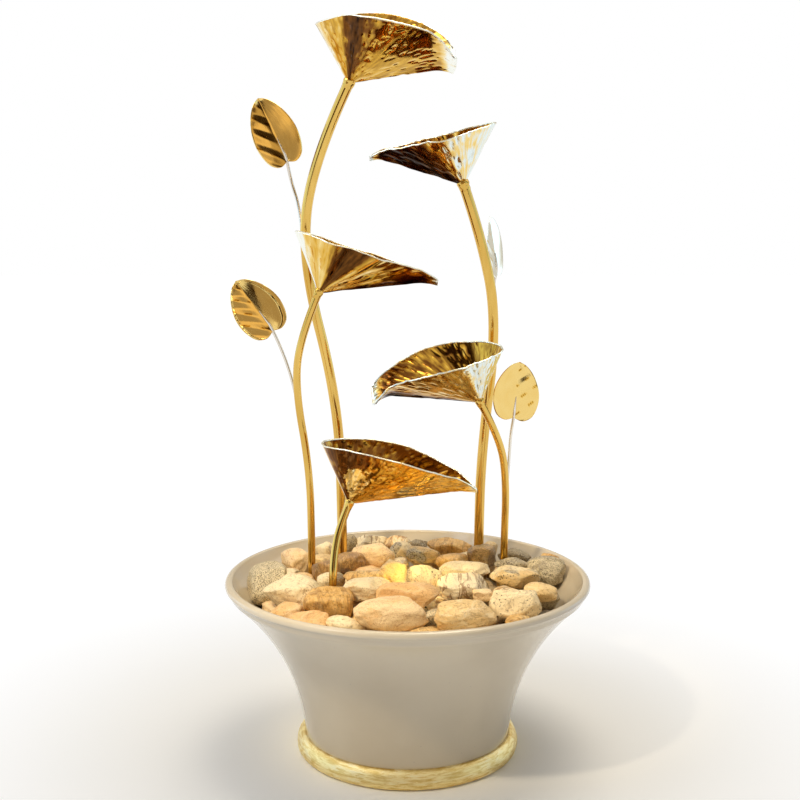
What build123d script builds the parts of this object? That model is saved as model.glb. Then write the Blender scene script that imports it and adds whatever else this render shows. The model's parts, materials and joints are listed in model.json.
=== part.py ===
from build123d import *
import math
import os

import numpy as np

# A tabletop water fountain. A glazed bowl with a gilded foot moulding holds a small pump in its
# reservoir. A round deck stands over the pump on four legs, carries a bed of river pebbles, a
# lamp and five stem sockets. Five bent brass tubes rise from the sockets, each with a folded
# sheet-brass cup at its top, and the water spills from the highest cup down through the others
# to the pebbles. Four small brass leaves stand off the tubes on thin rods.
# Frame: origin on the table at the bowl's axis, +Z up, the viewer's side is -Y.

os.makedirs("parts", exist_ok=True)

# ---------------------------------------------------------------- driving dimensions, in mm
FLARE_X, FLARE_Z, FLARE_R = 295.2, -0.4, 202.0  # the arc that the bowl's outside follows
WALL = 7.5
FOOT_HEIGHT = 18.0
FOOT_RADIUS = 103.0
FLARE_TOP = 152.0
INSIDE_TOP = 154.0
LIP_RADIUS = 165.0
RIM_HEIGHT = 162.0
FLOOR_TOP = 12.0
DECK_TOP = 120.0
DECK_THICK = 1.5
DECK_RADIUS = 118.0
LEG_CIRCLE = 66.0
LEG_RADIUS = 5.0
SOCKET_HEIGHT = 18.0
SOCKET_WALL = 3.2
TALL_TUBE = 9.5  # outside diameter of the two tall stems
SHORT_TUBE = 7.0  # outside diameter of the three shorter stems
TUBE_WALL = 1.0
ROD = 3.0  # diameter of the rods that carry the small leaves
SHEET = 0.8  # brass sheet of the small leaves
RUNNING = 0.08  # radial clearance of everything that turns in a bore
CUP_LIFT = 1.3  # how far a cup's inner cone is raised above its outer one
SOLDERED = 4.0  # how far a stem's end stands up inside its cup
PUMP_WIDTH, PUMP_HEIGHT = 44.0, 46.0
PUMP_FRONT, PUMP_BACK = -12.0, 30.0  # where the pump's body begins and ends along Y
PUMP_FOOT = FLOOR_TOP + 5.0
SHELL = 2.0  # wall of the moulded pump and lamp parts
COVER_DEPTH = 22.0
WELL_Z = PUMP_FOOT + 20.0  # height of the rotor's axis
OUTLET_Y = -4.5
HOSE = 12.0
HOSE_BORE = 9.0
LAMP_AT = (18.0, 10.0)
LAMP_RADIUS = 19.0
LAMP_HEIGHT = 17.0


def flare_at(height, radius=FLARE_R):
    """Radius of the bowl's flared wall at a height; a larger arc radius gives the inside."""
    return FLARE_X - math.sqrt(radius**2 - (height - FLARE_Z) ** 2)


def inside_at(height):
    """Radius of the bowl's inner wall at a height."""
    return flare_at(height, FLARE_R + WALL)


def save(piece, name):
    """Labels a finished piece and writes it as one STEP file."""
    piece.label = name
    export_step(piece, f"parts/{name}.step")


def turned(x, y, z=0.0):
    """The plane whose Z runs towards the viewer's side, -Y, through a point."""
    return Plane(origin=(x, y, z), x_dir=(1, 0, 0), z_dir=(0, -1, 0))


def bend_radii(points):
    """The largest smooth bend at each inner corner: 0.45 of the shorter run either side."""
    radii = []
    for before, corner, after in zip(points, points[1:], points[2:]):
        run_in = Vector(*corner) - Vector(*before)
        run_out = Vector(*after) - Vector(*corner)
        half_turn = math.radians(run_in.get_angle(run_out)) / 2
        radii.append(0.45 * min(run_in.length, run_out.length) / math.tan(half_turn))
    return radii


def bent_rod(points, outside, bore=0.0):
    """A round rod, or a tube when it has a bore, bent through a list of corner points."""
    with BuildPart() as rod:
        with BuildLine() as route:
            FilletPolyline(*points, radius=bend_radii(points))
        with BuildSketch(Plane(origin=route.line @ 0, z_dir=route.line % 0)):
            Circle(outside / 2)
            if bore:
                Circle(bore / 2, mode=Mode.SUBTRACT)
        sweep()
    return rod.part


# ---------------------------------------------------------------- bowl and foot moulding
with BuildPart() as bowl:
    with BuildSketch(Plane.XZ):
        with BuildLine():
            neck = flare_at(FOOT_HEIGHT)
            Polyline((0, 4), (80, 4), (82, 0), (neck, 0), (neck, FOOT_HEIGHT))
            outside = ThreePointArc(
                (neck, FOOT_HEIGHT), (flare_at(90), 90), (flare_at(FLARE_TOP), FLARE_TOP)
            )
            low = 22
            inside = ThreePointArc(
                (inside_at(INSIDE_TOP), INSIDE_TOP), (inside_at(90), 90), (inside_at(low), low)
            )
            Spline(
                outside @ 1,
                (LIP_RADIUS, RIM_HEIGHT - 4.6),
                (LIP_RADIUS - 3.6, RIM_HEIGHT),
                (LIP_RADIUS - 7.6, RIM_HEIGHT - 2.4),
                inside @ 0,
                tangents=[outside % 1, inside % 0],
            )
            TangentArc(inside @ 1, (76, FLOOR_TOP), tangent=inside % 1)
            Polyline((76, FLOOR_TOP), (0, FLOOR_TOP), (0, 4))
        make_face()
    revolve(axis=Axis.Z)
save(bowl.part, "bowl")

with BuildPart() as foot_ring:
    with BuildSketch(Plane.XZ):
        with BuildLine():
            top = FOOT_HEIGHT - 0.4
            Polyline((neck + 1.6, top), (neck, top), (neck, 0), (FOOT_RADIUS - 6, 0))
            ThreePointArc(
                (FOOT_RADIUS - 6, 0), (FOOT_RADIUS - 0.5, FOOT_HEIGHT / 2), (neck + 1.6, top)
            )
        make_face()
    revolve(axis=Axis.Z)
save(foot_ring.part, "foot_ring")

# ---------------------------------------------------------------- the five stems
# Corner points of each tube, from its socket to the cup. The first run is upright in the socket,
# and it is the axis that the stem is turned about to aim its cup.
STEMS = {
    "top": dict(
        tube=TALL_TUBE,
        points=[
            (-63, 80, DECK_TOP + 1),
            (-63, 80, 190),
            (-65.5, 64, 312),
            (-98, 47, 448),
            (-85, 39, 536),
            (-50.5, 30, 605),
        ],
    ),
    "upper_right": dict(
        tube=TALL_TUBE,
        points=[
            (70, 79, DECK_TOP + 1),
            (70, 79, 176),
            (71.5, 72, 262),
            (84, 52, 388),
            (66, 37, 470),
            (49, 30, 516),
        ],
    ),
    "left": dict(
        tube=SHORT_TUBE,
        points=[
            (-90, 38, DECK_TOP + 1),
            (-90, 38, 180),
            (-90.5, 30, 252),
            (-103, 22, 334),
            (-95.5, 18, 380),
            (-78.5, 15, 420),
        ],
    ),
    "right": dict(
        tube=SHORT_TUBE,
        points=[
            (92.5, 53, DECK_TOP + 1),
            (92.5, 53, 172),
            (93, 40, 240),
            (85, 26, 284),
            (64, 14, 321),
        ],
    ),
    "front": dict(
        tube=SHORT_TUBE,
        points=[
            (-67, -30, DECK_TOP + 1),
            (-67, -30, 160),
            (-65.5, -18, 188),
            (-60.5, -9, 210),
            (-51, -5, 232),
        ],
    ),
}

stem_parts = {}
stem_cores = {}
for name, stem in STEMS.items():
    tube = stem["tube"]
    stem_parts[name] = bent_rod(stem["points"], tube, tube - 2 * TUBE_WALL)
    stem_cores[name] = bent_rod(stem["points"], tube)


# ---------------------------------------------------------------- deck over the pump
LEG_ANGLES = (60, 180, 300)
FOOT_PAD = 3.0
stem_feet = {name: stem["points"][0][:2] for name, stem in STEMS.items()}
leg_spots = PolarLocations(LEG_CIRCLE, 3, start_angle=LEG_ANGLES[0]).locations


def barrel_radius(name):
    """Outside radius of a stem's socket."""
    return STEMS[name]["tube"] / 2 + SOCKET_WALL


def is_free(x, y, room):
    """True where a drain hole clears the sockets, the legs' screws and the lamp."""
    taken = [(*foot, barrel_radius(name) + 3) for name, foot in stem_feet.items()]
    taken += [(spot.position.X, spot.position.Y, 5) for spot in leg_spots]
    taken += [(*LAMP_AT, LAMP_RADIUS - 3)]
    return all(math.dist((x, y), (cx, cy)) > radius + room for cx, cy, radius in taken)


DRAIN = 2.6
drain_spots = []
for ring in range(1, 7):
    count = 6 * ring
    for step in range(count):
        angle = 2 * math.pi * step / count
        x, y = 17 * ring * math.cos(angle), 17 * ring * math.sin(angle)
        if is_free(x, y, DRAIN + 2):
            drain_spots.append((x, y))

with BuildPart() as deck_plate:
    with BuildSketch(Plane.XY.offset(DECK_TOP - DECK_THICK)):
        Circle(DECK_RADIUS)
        with Locations(*drain_spots):
            Circle(DRAIN, mode=Mode.SUBTRACT)
        with Locations(*[(spot.position.X, spot.position.Y) for spot in leg_spots]):
            Circle(2.2, mode=Mode.SUBTRACT)
        with Locations(stem_feet["top"]):
            Circle(3.5, mode=Mode.SUBTRACT)
        with Locations(LAMP_AT):
            Circle(4, mode=Mode.SUBTRACT)
    extrude(amount=DECK_THICK)
save(deck_plate.part, "deck_plate")

with BuildPart() as deck_edge_trim:
    with BuildSketch(Plane.XZ):
        with Locations((DECK_RADIUS, DECK_TOP - DECK_THICK / 2)):
            Rectangle(4, DECK_THICK + 2.4)
        with Locations((DECK_RADIUS - 3, DECK_TOP - DECK_THICK / 2)):
            Rectangle(6, DECK_THICK, mode=Mode.SUBTRACT)
    revolve(axis=Axis.Z)
save(deck_edge_trim.part, "deck_edge_trim")

with BuildPart() as deck_legs:
    with BuildSketch(Plane.XY.offset(FLOOR_TOP + FOOT_PAD)):
        with PolarLocations(LEG_CIRCLE, 3, start_angle=LEG_ANGLES[0]):
            Circle(LEG_RADIUS - 1)
    extrude(amount=DECK_TOP - DECK_THICK - FLOOR_TOP - FOOT_PAD)
    with BuildSketch(Plane.XY.offset(DECK_TOP - DECK_THICK)):
        with PolarLocations(LEG_CIRCLE, 3, start_angle=LEG_ANGLES[0]):
            Circle(2)
    extrude(amount=-12, mode=Mode.SUBTRACT)
save(deck_legs.part, "deck_legs")

with BuildPart() as leg_feet:
    with PolarLocations(LEG_CIRCLE, 3, start_angle=LEG_ANGLES[0]):
        with Locations((0, 0, FLOOR_TOP)):
            Cone(LEG_RADIUS + 2.5, LEG_RADIUS + 1, 10, align=(Align.CENTER, Align.CENTER, Align.MIN))
    with BuildSketch(Plane.XY.offset(FLOOR_TOP + FOOT_PAD)):
        with PolarLocations(LEG_CIRCLE, 3, start_angle=LEG_ANGLES[0]):
            Circle(LEG_RADIUS - 1)
    extrude(amount=10, mode=Mode.SUBTRACT)
save(leg_feet.part, "leg_feet")

with BuildPart() as deck_screws:
    with BuildSketch(Plane.XY.offset(DECK_TOP)):
        with PolarLocations(LEG_CIRCLE, 3, start_angle=LEG_ANGLES[0]):
            Circle(3.8)
    extrude(amount=2.4)
    fillet(deck_screws.edges().group_by(Axis.Z)[-1], 1.2)
    with BuildSketch(Plane.XY.offset(DECK_TOP)):
        with PolarLocations(LEG_CIRCLE, 3, start_angle=LEG_ANGLES[0]):
            Circle(2)
    extrude(amount=-11)
    with BuildSketch(Plane.XY.offset(DECK_TOP + 2.4)):
        with PolarLocations(LEG_CIRCLE, 3, start_angle=LEG_ANGLES[0]):
            RegularPolygon(1.4, 6)
    extrude(amount=-1.4, mode=Mode.SUBTRACT)
save(deck_screws.part, "deck_screws")

# ---------------------------------------------------------------- sockets and set screws
GRUB = 1.5  # radius of the set screws
GRUB_Z = DECK_TOP + 11


def outward(name):
    """The plane of a socket's set screw: origin on the stem's axis, Z away from the bowl's axis."""
    x, y = stem_feet[name]
    return Plane(origin=(x, y, GRUB_Z), x_dir=(0, 0, 1), z_dir=(x, y, 0))


with BuildPart() as stem_sockets:
    for name in STEMS:
        foot_plane = Plane(origin=(*stem_feet[name], DECK_TOP))
        with BuildSketch(foot_plane):
            Circle(barrel_radius(name) + 2)
        extrude(amount=2)
        with BuildSketch(foot_plane):
            Circle(barrel_radius(name))
        extrude(amount=SOCKET_HEIGHT)
    chamfer(stem_sockets.edges().group_by(Axis.Z)[-1], 0.8)
    for name in STEMS:
        with BuildSketch(Plane(origin=(*stem_feet[name], DECK_TOP))):
            Circle(STEMS[name]["tube"] / 2 + RUNNING)
        extrude(amount=SOCKET_HEIGHT + 1, mode=Mode.SUBTRACT)
        with BuildSketch(outward(name)):
            Circle(GRUB)
        extrude(amount=barrel_radius(name) + 1, mode=Mode.SUBTRACT)
save(stem_sockets.part, "stem_sockets")

with BuildPart() as set_screws:
    for name in STEMS:
        with BuildSketch(outward(name).offset(STEMS[name]["tube"] / 2 + 0.4)):
            Circle(GRUB)
            RegularPolygon(0.8, 6, mode=Mode.SUBTRACT)
        extrude(amount=2.5)
save(set_screws.part, "set_screws")

# ---------------------------------------------------------------- water way: elbow, hose, clips
HOSE_START = Vector(0, OUTLET_Y, 0)
HOSE_END = Vector(*stem_feet["top"], 0)
ELBOW_Z = 104.0
reach = HOSE_END - HOSE_START
heading = reach.normalized()


def along_hose(distance, height):
    """A point on the upright plane through the pump's outlet and the main stem."""
    spot = HOSE_START + heading * distance
    return (spot.X, spot.Y, height)


with BuildPart() as inlet_elbow:
    with BuildLine() as elbow_route:
        FilletPolyline(
            along_hose(reach.length, DECK_TOP - DECK_THICK),
            along_hose(reach.length, ELBOW_Z),
            along_hose(reach.length - 27, ELBOW_Z),
            radius=7.5,
        )
    with BuildSketch(Plane(origin=elbow_route.line @ 0, z_dir=elbow_route.line % 0)):
        Circle(HOSE_BORE / 2)
        Circle(3, mode=Mode.SUBTRACT)
    sweep()
save(inlet_elbow.part, "inlet_elbow")

hose_points = [
    along_hose(0, PUMP_FOOT + PUMP_HEIGHT + 1),
    along_hose(0, 86),
    along_hose(9, 101),
    along_hose(28, 108),
    along_hose(56, ELBOW_Z),
    along_hose(91, ELBOW_Z),
]
save(bent_rod(hose_points, HOSE, HOSE_BORE), "supply_hose")

with BuildPart() as hose_clips:
    with BuildSketch(Plane(origin=along_hose(0, PUMP_FOOT + PUMP_HEIGHT + 3))):
        Circle(HOSE / 2 + 0.8)
        Circle(HOSE / 2, mode=Mode.SUBTRACT)
        with Locations((HOSE / 2 + 2.5, 0)):
            Rectangle(4.4, 5)
    extrude(amount=5)
    with BuildSketch(Plane(origin=along_hose(83, ELBOW_Z), x_dir=(0, 0, -1), z_dir=heading)):
        Circle(HOSE / 2 + 0.8)
        Circle(HOSE / 2, mode=Mode.SUBTRACT)
        with Locations((HOSE / 2 + 2.5, 0)):
            Rectangle(4.4, 5)
    extrude(amount=5)
save(hose_clips.part, "hose_clips")

# ---------------------------------------------------------------- pump in the reservoir
POCKET = 14.0  # radius of the impeller's chamber
WELL = 6.5  # radius of the rotor's well
SHAFT = 1.0  # radius of the rotor's shaft
pump_middle = PUMP_FOOT + PUMP_HEIGHT / 2
front_plane = turned(0, PUMP_FRONT, pump_middle)
axis_plane = turned(0, PUMP_FRONT, WELL_Z)
TAB_WIDTH, TAB_DEPTH, TAB_LENGTH = 6.0, 1.4, 9.0

with BuildPart() as pump_body:
    with BuildSketch(front_plane):
        RectangleRounded(PUMP_WIDTH, PUMP_HEIGHT, 4)
    extrude(amount=PUMP_FRONT - PUMP_BACK)
    with BuildSketch(front_plane.offset(PUMP_FRONT - PUMP_BACK)):
        RectangleRounded(PUMP_WIDTH - 5, PUMP_HEIGHT - 5, 2)
    extrude(amount=PUMP_BACK - 3.5, mode=Mode.SUBTRACT)
    with BuildSketch(axis_plane.offset(PUMP_FRONT - 3.5)):
        Circle(WELL + SHELL)
    extrude(amount=-22.5)
    with BuildSketch(axis_plane):
        Circle(POCKET + 2)
    extrude(amount=-2, mode=Mode.SUBTRACT)
    with BuildSketch(axis_plane):
        Circle(POCKET)
    extrude(amount=-13, mode=Mode.SUBTRACT)
    with BuildSketch(axis_plane):
        Circle(WELL)
    extrude(amount=-36, mode=Mode.SUBTRACT)
    with BuildSketch(Plane(origin=(0, OUTLET_Y, WELL_Z + POCKET - 3))):
        Circle(4)
    extrude(amount=20, mode=Mode.SUBTRACT)
    with BuildSketch(Plane(origin=(0, OUTLET_Y, PUMP_FOOT + PUMP_HEIGHT - 6))):
        Circle(6)
    extrude(amount=6, mode=Mode.SUBTRACT)
    with BuildSketch(front_plane):
        with Locations((-PUMP_WIDTH / 2, 0), (PUMP_WIDTH / 2, 0)):
            Rectangle(2 * (TAB_DEPTH + 0.4), TAB_WIDTH + 0.8)
    extrude(amount=-TAB_LENGTH - 0.6, mode=Mode.SUBTRACT)
save(pump_body.part, "pump_body")

with BuildPart() as pump_outlet:
    with BuildSketch(Plane(origin=(0, OUTLET_Y, PUMP_FOOT + PUMP_HEIGHT - 6))):
        Circle(6)
    extrude(amount=6)
    with BuildSketch(Plane(origin=(0, OUTLET_Y, PUMP_FOOT + PUMP_HEIGHT))):
        Circle(HOSE_BORE / 2)
    extrude(amount=11)
    with BuildSketch(Plane(origin=(0, OUTLET_Y, PUMP_FOOT + PUMP_HEIGHT - 6))):
        Circle(3)
    extrude(amount=17, mode=Mode.SUBTRACT)
save(pump_outlet.part, "pump_outlet")

with BuildPart() as chamber_cover:
    with BuildSketch(axis_plane):
        Circle(POCKET + 2)
        Circle(7, mode=Mode.SUBTRACT)
        Circle(3)
        with PolarLocations(5, 3):
            Rectangle(6, 1.6)
        Circle(1.8, mode=Mode.SUBTRACT)
    extrude(amount=-2)
save(chamber_cover.part, "chamber_cover")

with BuildPart() as shaft_bushes:
    with BuildSketch(axis_plane):
        Circle(1.8)
        Circle(SHAFT, mode=Mode.SUBTRACT)
    extrude(amount=-2.4)
    with BuildSketch(axis_plane.offset(-34)):
        Circle(WELL)
        Circle(SHAFT, mode=Mode.SUBTRACT)
    extrude(amount=-2)
save(shaft_bushes.part, "shaft_bushes")

with BuildPart() as rotor_shaft:
    with BuildSketch(axis_plane.offset(0.4)):
        Circle(SHAFT)
    extrude(amount=-36.4)
save(rotor_shaft.part, "rotor_shaft")

with BuildPart() as impeller:
    with BuildSketch(axis_plane.offset(-3)):
        Circle(3.6)
        with PolarLocations(7.5, 5):
            Rectangle(9, 1.2)
    extrude(amount=-8.5)
    with BuildSketch(axis_plane.offset(-11.5)):
        Circle(3.6)
    extrude(amount=-3)
    with BuildSketch(axis_plane):
        Circle(SHAFT + RUNNING)
    extrude(amount=-36, mode=Mode.SUBTRACT)
save(impeller.part, "impeller")

with BuildPart() as rotor_magnet:
    with BuildSketch(axis_plane.offset(-14.5)):
        Circle(WELL - 0.6)
        Circle(SHAFT + RUNNING, mode=Mode.SUBTRACT)
    extrude(amount=-18.5)
save(rotor_magnet.part, "rotor_magnet")

core_y = 20.0  # back face of the stator
core_plane = turned(0, core_y, WELL_Z)
with BuildPart() as stator_core:
    with BuildSketch(core_plane):
        with Locations((-12, 5), (12, 5)):
            Rectangle(6, 28)
        with Locations((0, 16)):
            Rectangle(18, 6)
    extrude(amount=12)
save(stator_core.part, "stator_core")

with BuildPart() as stator_coil:
    with BuildSketch(Plane(origin=(-8, core_y - 6, WELL_Z + 16), x_dir=(0, 1, 0), z_dir=(1, 0, 0))):
        RectangleRounded(18, 12.6, 2)
        Rectangle(12, 6, mode=Mode.SUBTRACT)
    extrude(amount=16)
save(stator_coil.part, "stator_coil")

GLAND_Z = PUMP_FOOT + 10
back_plane = turned(0, PUMP_BACK, pump_middle)
with BuildPart() as potting_cap:
    with BuildSketch(back_plane):
        RectangleRounded(PUMP_WIDTH - 5, PUMP_HEIGHT - 5, 2)
        with Locations((0, GLAND_Z - pump_middle)):
            Circle(3.5, mode=Mode.SUBTRACT)
    extrude(amount=2.5)
save(potting_cap.part, "potting_cap")

with BuildPart() as pump_cable_gland:
    with BuildSketch(turned(0, PUMP_BACK - 2.5, GLAND_Z)):
        Circle(3.5)
    extrude(amount=-2.5)
    with BuildSketch(turned(0, PUMP_BACK, GLAND_Z)):
        Circle(5)
    extrude(amount=-7, taper=8)
    with BuildSketch(turned(0, PUMP_BACK + 7, GLAND_Z)):
        Circle(2.5)
    extrude(amount=6, mode=Mode.SUBTRACT)
save(pump_cable_gland.part, "pump_cable_gland")

with BuildPart() as suction_cups:
    with BuildSketch(Plane.XZ):
        with BuildLine():
            Polyline((0, PUMP_FOOT), (2.5, PUMP_FOOT), (2.5, PUMP_FOOT - 2), (6, FLOOR_TOP + 0.8))
            Polyline((6, FLOOR_TOP + 0.8), (6, FLOOR_TOP), (4.8, FLOOR_TOP), (0, FLOOR_TOP + 1.6))
            Line((0, FLOOR_TOP + 1.6), (0, PUMP_FOOT))
        make_face()
    revolve(axis=Axis.Z)
cup_spots = [Pos(x, y, 0) for x in (-15, 15) for y in (-4, 22)]
save(Compound([spot * suction_cups.part.solid() for spot in cup_spots]), "suction_cups")

# The front cover pulls off forwards. Two tabs on it run in grooves along the body's sides.
COVER_GAP = 0.3
cover_back = front_plane.offset(COVER_GAP)
DIAL_STEM = 3.0
with BuildPart() as pump_cover:
    with BuildSketch(cover_back):
        RectangleRounded(PUMP_WIDTH, PUMP_HEIGHT, 4)
    extrude(amount=COVER_DEPTH)
    with BuildSketch(cover_back):
        RectangleRounded(PUMP_WIDTH - 2 * SHELL, PUMP_HEIGHT - 2 * SHELL, 2.2)
    extrude(amount=COVER_DEPTH - SHELL, mode=Mode.SUBTRACT)
    with BuildSketch(cover_back.offset(COVER_DEPTH)):
        with GridLocations(30, 4.5, 2, 8):
            SlotOverall(9, 2)
        Circle(DIAL_STEM + RUNNING)
        with PolarLocations(6.5, 4, start_angle=45):
            Circle(1.6)
    extrude(amount=-SHELL, mode=Mode.SUBTRACT)
    with BuildSketch(cover_back):
        for side in (-1, 1):
            with Locations((side * (PUMP_WIDTH / 2 - TAB_DEPTH / 2), 0)):
                Rectangle(TAB_DEPTH, TAB_WIDTH)
    extrude(amount=-TAB_LENGTH)
save(pump_cover.part, "pump_cover")

dial_plane = turned(0, PUMP_FRONT - COVER_GAP - COVER_DEPTH, pump_middle)
with BuildPart() as flow_dial:
    with BuildSketch(dial_plane.offset(0.3)):
        Circle(9.5)
        with PolarLocations(6.5, 4, start_angle=45):
            Circle(1.6, mode=Mode.SUBTRACT)
    extrude(amount=1.6)
    with BuildSketch(dial_plane.offset(1.9)):
        SlotOverall(17, 3)
    extrude(amount=3)
    with BuildSketch(dial_plane.offset(0.3)):
        Circle(DIAL_STEM)
    extrude(amount=-SHELL - 1.6)
    with BuildSketch(dial_plane.offset(-SHELL - 0.3)):
        Circle(DIAL_STEM + 1)
    extrude(amount=-1)
save(flow_dial.part, "flow_dial")

# ---------------------------------------------------------------- lamp under the pebbles
lamp_top = DECK_TOP + LAMP_HEIGHT
with BuildPart() as lamp_body:
    with BuildSketch(Plane(origin=(*LAMP_AT, DECK_TOP))):
        Circle(LAMP_RADIUS)
    extrude(amount=LAMP_HEIGHT)
    fillet(lamp_body.edges().group_by(Axis.Z)[0], 1.5)
    with BuildSketch(Plane(origin=(*LAMP_AT, DECK_TOP + SHELL))):
        Circle(LAMP_RADIUS - 3)
    extrude(amount=LAMP_HEIGHT, mode=Mode.SUBTRACT)
    with BuildSketch(Plane(origin=(*LAMP_AT, lamp_top - 3))):
        Circle(LAMP_RADIUS - 1.6)
    extrude(amount=4, mode=Mode.SUBTRACT)
    with BuildSketch(Plane(origin=(*LAMP_AT, DECK_TOP))):
        Circle(3)
    extrude(amount=4, mode=Mode.SUBTRACT)
save(lamp_body.part, "lamp_body")

with BuildPart() as lamp_lens:
    with BuildSketch(Plane(origin=(*LAMP_AT, lamp_top - 3))):
        Circle(LAMP_RADIUS - 1.6)
    extrude(amount=3)
    fillet(lamp_lens.edges().group_by(Axis.Z)[-1], 1.2)
save(lamp_lens.part, "lamp_lens")

BOARD_Z = DECK_TOP + 6
with BuildPart() as lamp_board:
    with BuildSketch(Plane(origin=(*LAMP_AT, BOARD_Z))):
        Circle(LAMP_RADIUS - 3)
        Circle(1.5, mode=Mode.SUBTRACT)
    extrude(amount=1.6)
save(lamp_board.part, "lamp_board")

with BuildPart() as lamp_leds:
    with BuildSketch(Plane(origin=(*LAMP_AT, BOARD_Z + 1.6))):
        with PolarLocations(9, 6):
            Rectangle(5, 5)
    extrude(amount=1.8)
save(lamp_leds.part, "lamp_leds")

with BuildPart() as lamp_gland:
    with BuildSketch(Plane(origin=(*LAMP_AT, DECK_TOP + 2))):
        Circle(3)
    extrude(amount=-2)
    with BuildSketch(Plane(origin=(*LAMP_AT, DECK_TOP))):
        Circle(4)
    extrude(amount=-10)
    with BuildSketch(Plane(origin=(*LAMP_AT, DECK_TOP - 10))):
        Circle(2)
    extrude(amount=9, mode=Mode.SUBTRACT)
save(lamp_gland.part, "lamp_gland")

# ---------------------------------------------------------------- the five water cups
# Each cup is a leaf of sheet brass folded into a slanted cone about the end of its stem.
# In the cup's own frame X runs to the spout and Z up, from the stem's end:
#   heel: top of the closed back (behind, up), spout: end of the fold (ahead, up),
#   lip: how far the walls stand above the fold at the spout, arch: how far the rim bows up,
#   aim: compass direction of the spout, lean: tilt of the rim towards the viewer.
CUPS = {
    "top": dict(heel=(26, 50), spout=(92, 12), lip=17, arch=14, width=68, aim=-6, lean=14),
    "upper_right": dict(heel=(27, 55), spout=(84, 25), lip=4, arch=-3, width=62, aim=185, lean=7),
    "left": dict(heel=(19, 55), spout=(106, 11), lip=5, arch=-1, width=62, aim=-2, lean=1),
    "right": dict(heel=(18, 51), spout=(97, 9), lip=8, arch=7, width=64, aim=185, lean=12),
    "front": dict(heel=(24, 55), spout=(114, 14), lip=3, arch=10, width=64, aim=-2, lean=1),
}
POINT_PAST_SPOUT = 1.1  # the cone's outline closes this far beyond the spout, so the spout is open


def cup_cone(heel, point, width):
    """The solid cone from the stem's end over a leaf-shaped outline, run on past the rim."""
    back = Vector(-heel[0], 0, heel[1])
    along = Vector(point[0], 0, point[1]) - back
    length = along.length
    with BuildPart() as cone:
        for size in (0.03, 1.5):
            plane = Plane(origin=back * size, x_dir=along, z_dir=along.cross(Vector(0, 1, 0)) * -1)
            with BuildSketch(plane):
                with BuildLine():
                    side = Spline(
                        (0, 0),
                        (0.36 * length * size, width / 2 * size),
                        (length * size, 0),
                        tangents=[(0, 1), (1, -0.34)],
                    )
                    mirror(side, about=Plane.XZ)
                make_face()
        loft(ruled=True)
    return cone.part


def water_cup(heel, spout, lip, arch, width):
    """One folded cup in its own frame, open at the top and at the spout."""
    point = (spout[0] * POINT_PAST_SPOUT, spout[1] * POINT_PAST_SPOUT)
    outer = cup_cone(heel, point, width)
    rim_back = (-heel[0], heel[1])
    rim_front = (spout[0], spout[1] + lip)
    middle = (
        (rim_back[0] + rim_front[0]) / 2,
        (rim_back[1] + rim_front[1]) / 2 + arch,
    )
    with BuildPart() as cup:
        add(outer)
        add(Pos(0, 0, CUP_LIFT) * outer, mode=Mode.SUBTRACT)
        with BuildSketch(Plane.XZ):
            with BuildLine():
                ThreePointArc(rim_back, middle, rim_front)
                Polyline(
                    rim_front, (spout[0], -30), (-heel[0] - 40, -30), (-heel[0] - 40, heel[1]), rim_back
                )
            make_face()
        extrude(amount=width, both=True, mode=Mode.INTERSECT)
    return cup.part


def cup_frame(name):
    """The cup's plane in the fountain: just below its stem's end, aimed and leant."""
    cup = CUPS[name]
    aim = math.radians(cup["aim"])
    lean = math.radians(cup["lean"])
    forward = Vector(math.cos(aim), math.sin(aim), 0)
    up = Vector(0, -math.sin(lean), math.cos(lean))
    up = (up - forward * up.dot(forward)).normalized()
    below, end = (Vector(*point) for point in STEMS[name]["points"][-2:])
    return Plane(origin=end - (end - below).normalized() * SOLDERED, x_dir=forward, z_dir=up)


for name, cup in CUPS.items():
    shape = {key: cup[key] for key in ("heel", "spout", "lip", "arch", "width")}
    with BuildPart() as placed_cup:
        add(cup_frame(name).location * water_cup(**shape))
        add(stem_cores[name], mode=Mode.SUBTRACT)
    save(placed_cup.part, f"{name}_cup")
    save(stem_parts[name], f"{name}_stem")
    print(name, "cup:", len(placed_cup.part.solids()), "solid,", round(placed_cup.part.volume), "mm3")

# ---------------------------------------------------------------- rods and small leaves
# Each rod starts on its stem's axis, where the stem is cut out of it, and ends at its leaf's base.
TWIGS = {
    "top": dict(
        rod=[(-96, 46, 466), (-99, 56, 492), (-107, 61, 516), (-111, 57, 538)],
        tip=(-136, 55, 591),
        facing=(0.25, -1, 0.1),
        width=42,
        fold=8,
    ),
    "left": dict(
        rod=[(-98, 26, 300), (-103, 27, 328), (-112, 27, 358), (-124, 25, 386)],
        tip=(-155, 24, 427),
        facing=(0.2, -1, 0.05),
        width=44,
        fold=7,
    ),
    "right": dict(
        rod=[(93, 41, 228), (95, 40, 258), (96, 37, 284), (98.5, 31, 304)],
        tip=(103, 30, 353),
        facing=(-0.1, -1, 0.05),
        width=42,
        fold=9,
    ),
    "upper_right": dict(
        rod=[(82, 54, 380), (80, 66, 402), (81, 72, 420), (84, 70, 434)],
        tip=(76.5, 66, 485),
        facing=(0.94, -0.42, 0.15),
        width=40,
        fold=8,
    ),
}


def half_leaf(origin, along, normal, length, width, side):
    """One flat half of a small leaf, from its midrib out to one side."""
    with BuildPart() as half:
        with BuildSketch(Plane(origin=origin, x_dir=along, z_dir=normal)):
            with BuildLine():
                Spline(
                    (0, 0),
                    (-0.05 * length, side * 0.25 * width),
                    (0.28 * length, side * 0.5 * width),
                    (0.72 * length, side * 0.38 * width),
                    (length, 0),
                )
                Line((length, 0), (0, 0))
            make_face()
        extrude(amount=SHEET)
    return half.part


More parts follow.
